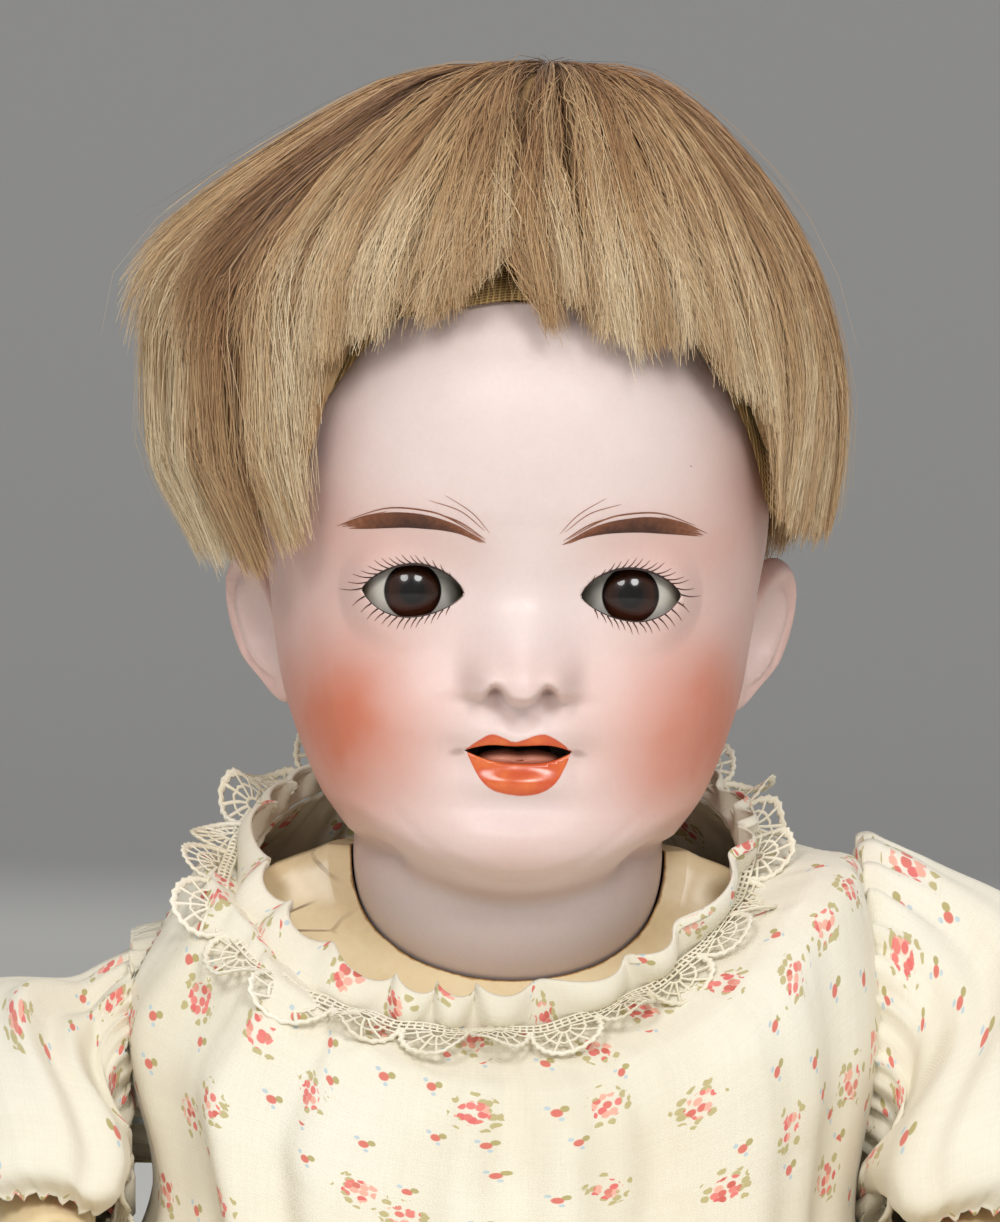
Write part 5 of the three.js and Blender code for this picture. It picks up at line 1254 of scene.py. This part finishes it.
# Puff sleeves
sleeve = {"columns": 150, "rows": 70, "armhole": 24.5, "cuff": 15.6, "puff": 7.5,
          "rise": {1: (11.0, 5.0), -1: (-13.0, 16.0)}, "flatWide": 190.0, "flatLong": 76.0, "hang": 31.0,
          "wall": 0.45, "bandWall": 0.6}
sleeveStops = [(59, 10, 116), (68, 10, 115), (77, 6, 107), (83.5, -3, 97), (86, -12, 90.2), (86, -17, 88.2)]
sleevePath = [curve([[i / 5, s[j]] for i, s in enumerate(sleeveStops)]) for j in range(3)]
bandAt = np.array(sleeveStops[-1], float)
bandWay = unit(np.array([0.0, -5.0, -2.0]))
bandOver = unit(np.array([0, 0, 1.0]) - bandWay * bandWay[2])
bandSide = np.cross(bandWay, bandOver)


def sleeveSheet(side):
    def place(u, v):
        at = np.stack([f(v) for f in sleevePath], -1)
        way = unit(np.stack([f(v + 0.01) - f(v - 0.01) for f in sleevePath], -1))
        turn = np.clip((v - 0.25) / 0.5, 0, 1)[:, None]
        aim = unit(np.array([1.0, 0, 0]) * (1 - turn) + way * turn)
        over = unit(np.array([0, 0, 1.0]) - aim * aim[:, 2:3])
        across = np.cross(aim, over)
        k = np.clip((v - 0.1) / 0.9, 0, 1)
        puff = np.sin(np.pi * k ** 0.7)
        r = sleeve["armhole"] * (1 - v) + sleeve["cuff"] * v + sleeve["puff"] * puff
        a = -u * tau
        small = np.cos(34 * a + 2 * np.sin(3 * a)) + 0.5 * np.cos(55 * a + 1.5 * np.sin(4 * a))
        big = np.cos(9 * a + 1.2 * np.sin(2 * a + side)) + 0.6 * np.cos(14 * a + 4 * v)
        r = r + 1.5 * small * (bell(v, 0.16, 0.1) + 0.6 * bell(v, 0.97, 0.08)) + 1.3 * big * puff
        near, far = sleeve["rise"][side]
        lift = (near * ease(v, 0.0, 0.15) + far * ease(v, 0.34, 0.58)
                - (near + far) * ease(v, *((0.45, 0.9) if side > 0 else (0.62, 0.95))))
        p = (at + across * (r * np.cos(a))[:, None]
             + over * (r * np.sin(a) + lift * np.maximum(np.sin(a), 0) ** 1.5)[:, None])
        top = np.sin(a)
        hang = ease(v, 0.5, 0.84) * (1 - ease(v, 0.93, 1.0))  # the fullness falls forward over the cuff
        p = (p + bandWay * (sleeve["hang"] * ease(top, -0.1, 0.8) * hang)[:, None]
             + bandOver * ((3.5 * ease(top, -0.2, 0.5) - 7 * ease(top, 0.2, 0.9) * ease(v, 0.6, 0.9))
                           * hang)[:, None])
        seam = (65.5 if side > 0 else 68.5) + 0.5 * np.cos(21 * a) + 0.4 * np.cos(34 * a)
        p[:, 0] = np.where(v > 0.07, np.maximum(p[:, 0], seam), p[:, 0])
        p[:, 0] *= side
        return p, {"cloth": np.stack([u * sleeve["flatWide"], v * sleeve["flatLong"]], 1)}
    return place


def bandPoint(u, r, h):
    a = -u * tau
    return (bandAt + bandWay * h[..., None] + bandSide * (r * np.cos(a))[..., None]
            + bandOver * (r * np.sin(a))[..., None])


def bandSheet(side):
    def place(u, v):
        p = bandPoint(u, 15.7 + 0.5 * np.sin(np.pi * v) + 0.12 * np.cos(34 * tau * u), 0.2 + 3.8 * v)
        return p * np.array([side, 1, 1]), {"cloth": np.stack([u * 100, v * 6], 1)}
    return place


sleeveCotton = printedCotton("sleeveCotton")
bandCotton = printedCotton("bandCotton", seams=(1.0, 5.0))
for side, name in sides:
    mesh = gridSheet(f"puff_sleeve_{name}", sleeve["columns"], sleeve["rows"], sleeveSheet(side),
                     joined=True, outward=True)
    puffed = piece(mesh, sleeveCotton, None, [f"dress_sleeve_{name}"])
    thicken(puffed, sleeve["wall"])
    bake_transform(puffed, "torso", f"arm_{name}", start=(side * 0.060, 0.010, 0.116),
             end=(side * 0.079, 0.010, 0.116))
    cuff = piece(gridSheet(f"cuff_band_{name}", 120, 8, bandSheet(side), joined=True, outward=True),
                 bandCotton, f"arm_{name}", [f"sleeve_band_{name}"])
    thicken(cuff, sleeve["bandWall"])
print("dress and sleeves")

# Ruffle round the neck
ruffle = {"columns": 640, "rows": 20, "lobes": 22, "wall": 0.5, "slackAt": 146, "slackWide": 21,
          "slack": 8.5}


# The stand-off of the frill and lace at one front corner
def slack(a):
    return bell(np.degrees(np.mod(a, tau)), ruffle["slackAt"], ruffle["slackWide"])


def ruffleSheet(u, v):
    a = u * tau
    turn = ruffle["lobes"] * a + 2.2 * np.sin(3 * a + 0.5) + 1.3 * np.sin(7 * a)
    lobe, skew = np.cos(turn), np.sin(turn)
    puff, roll = np.sin(np.pi * v ** 0.8), ease(v, 0.82, 1.0)
    tall = 1 + 0.14 * np.sin(2 * a + 1.2) + 0.1 * np.sin(5 * a)
    r = dress["collar"] - 0.2 - 3.8 * v + puff * (1.5 + 1.1 * lobe) + 1.4 * v * lobe + 1.6 * roll
    h = 0.4 + 8.6 * tall * np.sin(1.4 * v) + 0.9 * v * skew - 2.0 * roll + 2.6 * slack(a) * (1 - v)
    r = (r + ruffle["slack"] * slack(a) * (1 - v) ** 1.1
         + v * np.cos(a) ** 2 * np.where(np.cos(a) > 0, 4.5, 2.6))
    h = h - v * (1.2 * np.cos(a) ** 2 + 3.4 * np.clip(-np.sin(a), 0, 1))  # room for the head to tip back
    return collarPoint(a + 0.035 * v * skew, r, h), {"cloth": np.stack([u * 420, v * 12], 1)}


ruffleCotton = printedCotton("ruffleCotton")
rufflePiece = piece(gridSheet("neck_frill", ruffle["columns"], ruffle["rows"], ruffleSheet, joined=True),
                    ruffleCotton, "torso", ["neck_ruffle"])
thicken(rufflePiece, ruffle["wall"], 0.0)

# Crocheted lace
lace = {"pitch": 15.2, "header": 2.8, "reach": 7.4, "spokes": 7, "thread": 0.34, "edge": 0.6,
        "neckFans": 26, "cuffFans": 8}


def flatLace(name, fans):
    made = []
    for depth, rounds, threads in ((lace["thread"], 0, "thin"), (lace["edge"], 1, "thick")):
        data = bpy.data.curves.new(name + threads, "CURVE")
        data.dimensions = "3D"
        data.bevel_depth = depth * mm
        data.bevel_resolution = rounds
        data.use_fill_caps = True

        def run(points, closed=False):
            spline = data.splines.new("POLY")
            spline.points.add(len(points) - 1)
            for p, (s, w, h) in zip(spline.points, points):
                p.co = (s * mm, w * mm, h * mm, 1)
            spline.use_cyclic_u = closed
        width = fans * lace["pitch"]
        if threads == "thin":
            for row, w in enumerate((0.2, 1.3, 2.4)):
                run([(width * i / (fans * 8), w, 0.08 * math.sin(i * 1.7 + row))
                     for i in range(fans * 8 + 1)])
        for f in range(fans):
            c = (f + 0.5) * lace["pitch"]

            def polar(deg, r):
                return (c + r * math.sin(math.radians(deg)) * 0.985,
                        lace["header"] + r * math.cos(math.radians(deg)), 0.0)
            if threads == "thin":
                for i in range(9):
                    s = f * lace["pitch"] + (i + 0.5) * lace["pitch"] / 9
                    run([(s, 0.2, 0), (s + 0.2, 1.3, 0.1), (s, 2.4, 0)])
                for i in range(lace["spokes"]):
                    deg = -80 + 160 * i / (lace["spokes"] - 1)
                    run([polar(deg, 1.4), polar(deg + 1.5, 3.2), polar(deg, 5.0),
                         polar(deg - 1, lace["reach"])])
                run([polar(-90 + 180 * i / 10, 1.5) for i in range(11)])
                run([polar(-88 + 176 * i / 16, 4.4 + 0.2 * math.cos(i * 2.8)) for i in range(17)])
            else:
                run([polar(-92 + 184 * i / 28, lace["reach"] + 0.22 * math.cos(i * math.pi))
                     for i in range(29)])
        obj = bpy.data.objects.new(name + threads, data)
        scene.collection.objects.link(obj)
        made.append(bake(obj, name + threads))
        bpy.data.objects.remove(obj)
    bm = bmesh.new()
    for m in made:
        bm.from_mesh(m)
    bmesh.ops.recalc_face_normals(bm, faces=bm.faces[:])
    return meshFrom(bm, name)


def neckLace(fans):
    mesh = flatLace("neck_lace_edging", fans)
    flat = spread(mesh) / mm
    s, w, h = flat.T
    a = s / (fans * lace["pitch"]) * tau
    k = np.maximum(w, 0) / 10.3
    turn = fans * a / 2 + 1.2 * np.sin(3 * a) + 0.8 * np.sin(5 * a + 1)
    wave, side = np.sin(turn), np.cos(turn)
    r = dress["collar"] + 0.9 + w * (0.9 - 0.1 * np.abs(wave)) + 0.5 * h
    up = 2.2 + 3.0 * k + 3.2 * wave * k ** 1.1 + h + 0.4 * np.sin(2 * turn) + slack(a) * (3.4 - 1.0 * k)
    r = r + (ruffle["slack"] + 1.5 * k) * slack(a)
    settle(mesh, collarPoint(a + 0.03 * side * k, r, up))
    return mesh


def cuffLace(side, fans, name):
    mesh = flatLace(name, fans)
    flat = spread(mesh) / mm
    s, w, h = flat.T
    u = s / (fans * lace["pitch"])
    k = np.maximum(w, 0) / 10.3
    wave = np.sin(fans * u * tau + 0.6)
    p = bandPoint(u, 15.9 + 2.6 * k + 1.3 * wave * k + h, 3.4 + 0.72 * w)
    settle(mesh, p * np.array([side, 1, 1]))
    if side < 0:
        flipFaces(mesh)
    return mesh


laceThread, tree, shader = newFinish("laceThread", Roughness=0.85, Specular_IOR_Level=0.2)
at = here(tree)
twist = noise(tree, at, 2600, 2)
tone = plus(tree, times(tree, noise(tree, at, 60, 3), 0.6), times(tree, twist, 0.4))
shade = ramp(tree, tone, [(0.3, (222, 211, 182)), (0.5, (238, 231, 210)), (0.7, (244, 240, 226))])
wire(tree, shader, Base_Color=shade)
wire(tree, shader, Roughness=between(tree, twist, 0.3, 0.7, 0.9, 0.75), Normal=bump(tree, twist, 0.5, 0.15))
neckLacePiece = piece(neckLace(lace["neckFans"]), laceThread, "torso", ["neck_lace"])
for side, name in sides:
    piece(cuffLace(side, lace["cuffFans"], f"cuff_lace_{name}"), laceThread, f"arm_{name}",
          [f"sleeve_lace_{name}"])
print("frill and lace")

# Buttons
button = {"holes": 0.95, "outline": [(0, 0.0), (3.4, 0.0), (3.9, 0.35), (4.0, 0.8), (3.75, 1.3), (3.2, 1.5),
                                     (2.7, 1.2), (2.2, 0.95), (1.2, 0.85), (0, 0.8)]}


def boneButton(index):
    lo, hi = (np.array(c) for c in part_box(f"dress_button_{index}"))
    middle = (lo + hi) / 2 / mm
    a, v = 1.5 * math.pi + 0.1, 0.06 + 0.1 * index
    spots = ((a, v), (a + 0.02, v), (a, v + 0.02))
    p0, pa, pv = (dressPoint(np.array([x]), np.array([y]))[0] for x, y in spots)
    out = unit(np.cross(pa - p0, pv - p0))
    base = middle + out * max(0.0, float((p0 - middle) @ out) + 0.5)
    over = unit(np.array([0, 0, 1.0]) - out * out[2])
    side = np.cross(over, out)
    shape = np.array(button["outline"])

    def place(u, w):
        r = np.interp(w * (len(shape) - 1), np.arange(len(shape)), shape[:, 0])
        h = np.interp(w * (len(shape) - 1), np.arange(len(shape)), shape[:, 1])
        x, y = r * np.cos(u * tau), r * np.sin(u * tau)
        # The thread holes are shallow dips; their rim mark paints them dark as shade
        hole = np.zeros_like(x)
        for hx in (button["holes"], -button["holes"]):
            hole = np.maximum(hole, (w > 0.6) * (1 - ease(np.hypot(x - hx, y), 0.35, 0.6)))
        h = h - 0.6 * hole
        return base + side * x[:, None] + over * y[:, None] + out * (h - 0.7)[:, None], {"rim": hole}
    return gridSheet(f"bone_button_{index}", 64, 54, place, joined=True, outward=True)


boneFinish, tree, shader = newFinish("boneButton", Roughness=0.32)
at = here(tree)
streak = noise(tree, stretched(tree, at, (1, 1, 0.15)), 900, 3)
shade = ramp(tree, streak, [(0.3, (222, 212, 190)), (0.6, (238, 232, 218))])
# Painted shade: the thread holes are painted dark brown
wire(tree, shader, Base_Color=blendColour(tree, mark(tree, "rim"), shade, (70, 54, 40)),
     Roughness=between(tree, streak, 0.3, 0.7, 0.38, 0.26))
buttons = [piece(boneButton(i), boneFinish, "torso", [f"dress_button_{i}"]) for i in (1, 2, 3)]

# Inner works and other nodes that keep their solids
innerLooks = {
    "card": ("pateCard", (150, 118, 80), (188, 156, 112), 0.85, 60, 1400),
    "plaster": ("plaster", (214, 208, 196), (236, 232, 222), 0.9, 140, 1800),
    "steel": ("blackWire", (60, 56, 52), (128, 122, 114), 0.42, 180, 2000, 1.0, (0.3, 0.05)),
    "lead": ("leadWeight", (70, 72, 76), (112, 114, 118), 0.55, 120, 1500, 1.0, (0.3, 0.1)),
    "cork": ("cork", (140, 98, 60), (186, 142, 96), 0.9, 260, 1800, 0.0, (0.3, 0.4)),
    "wood": ("turnedWood", (150, 112, 68), (196, 156, 106), 0.6, 90, 1600),
    "elastic": ("elasticCord", (196, 188, 168), (224, 218, 202), 0.9, 500, 2600, 0.0, (0.3, 0.3)),
}
innerFinishes = {kind: plainFinish(*look) for kind, look in innerLooks.items()}
innerKinds = {"eye_plaster": "plaster", "eye_bow": "steel", "eye_weight": "lead", "eye_stop": "cork",
              "eye_bearing": "plaster", "neck_hook": "steel", "neck_button": "wood", "arm_plug": "wood",
              "leg_plug": "wood", "arm_hook": "steel", "leg_hook": "steel", "arm_elastic": "elastic",
              "leg_elastic": "elastic", "crown_pate": "card"}
for obj in [o for o in bpy.data.objects if o.type == "MESH"]:
    for start, kind in innerKinds.items():
        if obj.name.startswith(start):
            obj.data.materials.clear()
            obj.data.materials.append(innerFinishes[kind])
print("inner works")

# Stage, light and camera
stage = {"near": 1.9, "wallY": 2.3, "bend": 0.7, "wide": 6.0, "run": 6.6}


def sweepSheet(u, v):
    x = (u - 0.5) * stage["wide"] * 1000
    run = v * stage["run"]
    flatRun, arc = stage["near"] + stage["wallY"] - stage["bend"], stage["bend"] * math.pi / 2
    turn = np.clip((run - flatRun) / stage["bend"], 0, math.pi / 2)
    y = np.minimum(run, flatRun) - stage["near"] + stage["bend"] * np.sin(turn)
    z = stage["bend"] * (1 - np.cos(turn)) + np.maximum(run - flatRun - arc, 0)
    return np.stack([x, y * 1000, z * 1000 - 0.4], 1), {}


sweepFinish, tree, shader = newFinish("studioSweep", Roughness=0.9)
rise = add(tree, "ShaderNodeSeparateXYZ", {0: here(tree)}).outputs[2]
shade = blendColour(tree, between(tree, rise, 0.0, 0.03), (226, 226, 223), (176, 176, 175))
wire(tree, shader, Base_Color=shade)
rear = add(tree, "ShaderNodeNewGeometry").outputs["Backfacing"]  # clear when the camera stands behind it
clear = add(tree, "ShaderNodeBsdfTransparent").outputs[0]
seen = add(tree, "ShaderNodeMixShader", {0: rear, 1: shader.outputs[0], 2: clear}).outputs[0]
tree.links.new(seen, tree.nodes["Material Output"].inputs[0])
sweep = piece(gridSheet("studio_sweep", 4, 90, sweepSheet), sweepFinish)

view = {"aim": (-3.9, -45, 196.8), "away": 1400.0, "tall": 218.2, "azimuth": -2.0, "elevation": 2.0,
        "roll": 1.2}
az, el = math.radians(view["azimuth"]), math.radians(view["elevation"])
back = Vector((math.sin(az) * math.cos(el), -math.cos(az) * math.cos(el), math.sin(el)))
data = bpy.data.cameras.new("camera")
data.sensor_width = 36
data.lens = 36 * view["away"] / view["tall"]
data.clip_start, data.clip_end = 0.05, 20
camera = bpy.data.objects.new("camera", data)
scene.collection.objects.link(camera)
camera.location = (Vector(view["aim"]) + back * view["away"]) * mm
camera.rotation_euler = (back.to_track_quat("Z", "Y").to_matrix()
                         @ Matrix.Rotation(math.radians(view["roll"]), 3, "Z")).to_euler()
scene.camera = camera

lampAim = Vector((0, -0.03, 0.19))
lamps = {"key": (13, 29, 1.5, 0.42, 8.4), "fill": (-21, 28, 1.5, 0.42, 6.8), "top": (10, 78, 1.7, 1.0, 5.0)}
for name, (lampAz, lampEl, far, size, watts) in lamps.items():
    lamp = bpy.data.lights.new(name, "AREA")
    lamp.shape = "DISK"
    lamp.size = size
    lamp.energy = watts
    obj = bpy.data.objects.new(name, lamp)
    scene.collection.objects.link(obj)
    la, le = math.radians(lampAz), math.radians(lampEl)
    way = Vector((math.sin(la) * math.cos(le), -math.cos(la) * math.cos(le), math.sin(le)))
    obj.location = lampAim + way * far
    obj.rotation_euler = way.to_track_quat("Z", "Y").to_euler()
world = bpy.data.worlds.new("studio")
world.use_nodes = True
world.node_tree.nodes["Background"].inputs[0].default_value = (1.0, 0.99, 0.975, 1)
world.node_tree.nodes["Background"].inputs[1].default_value = 0.46
scene.world = world
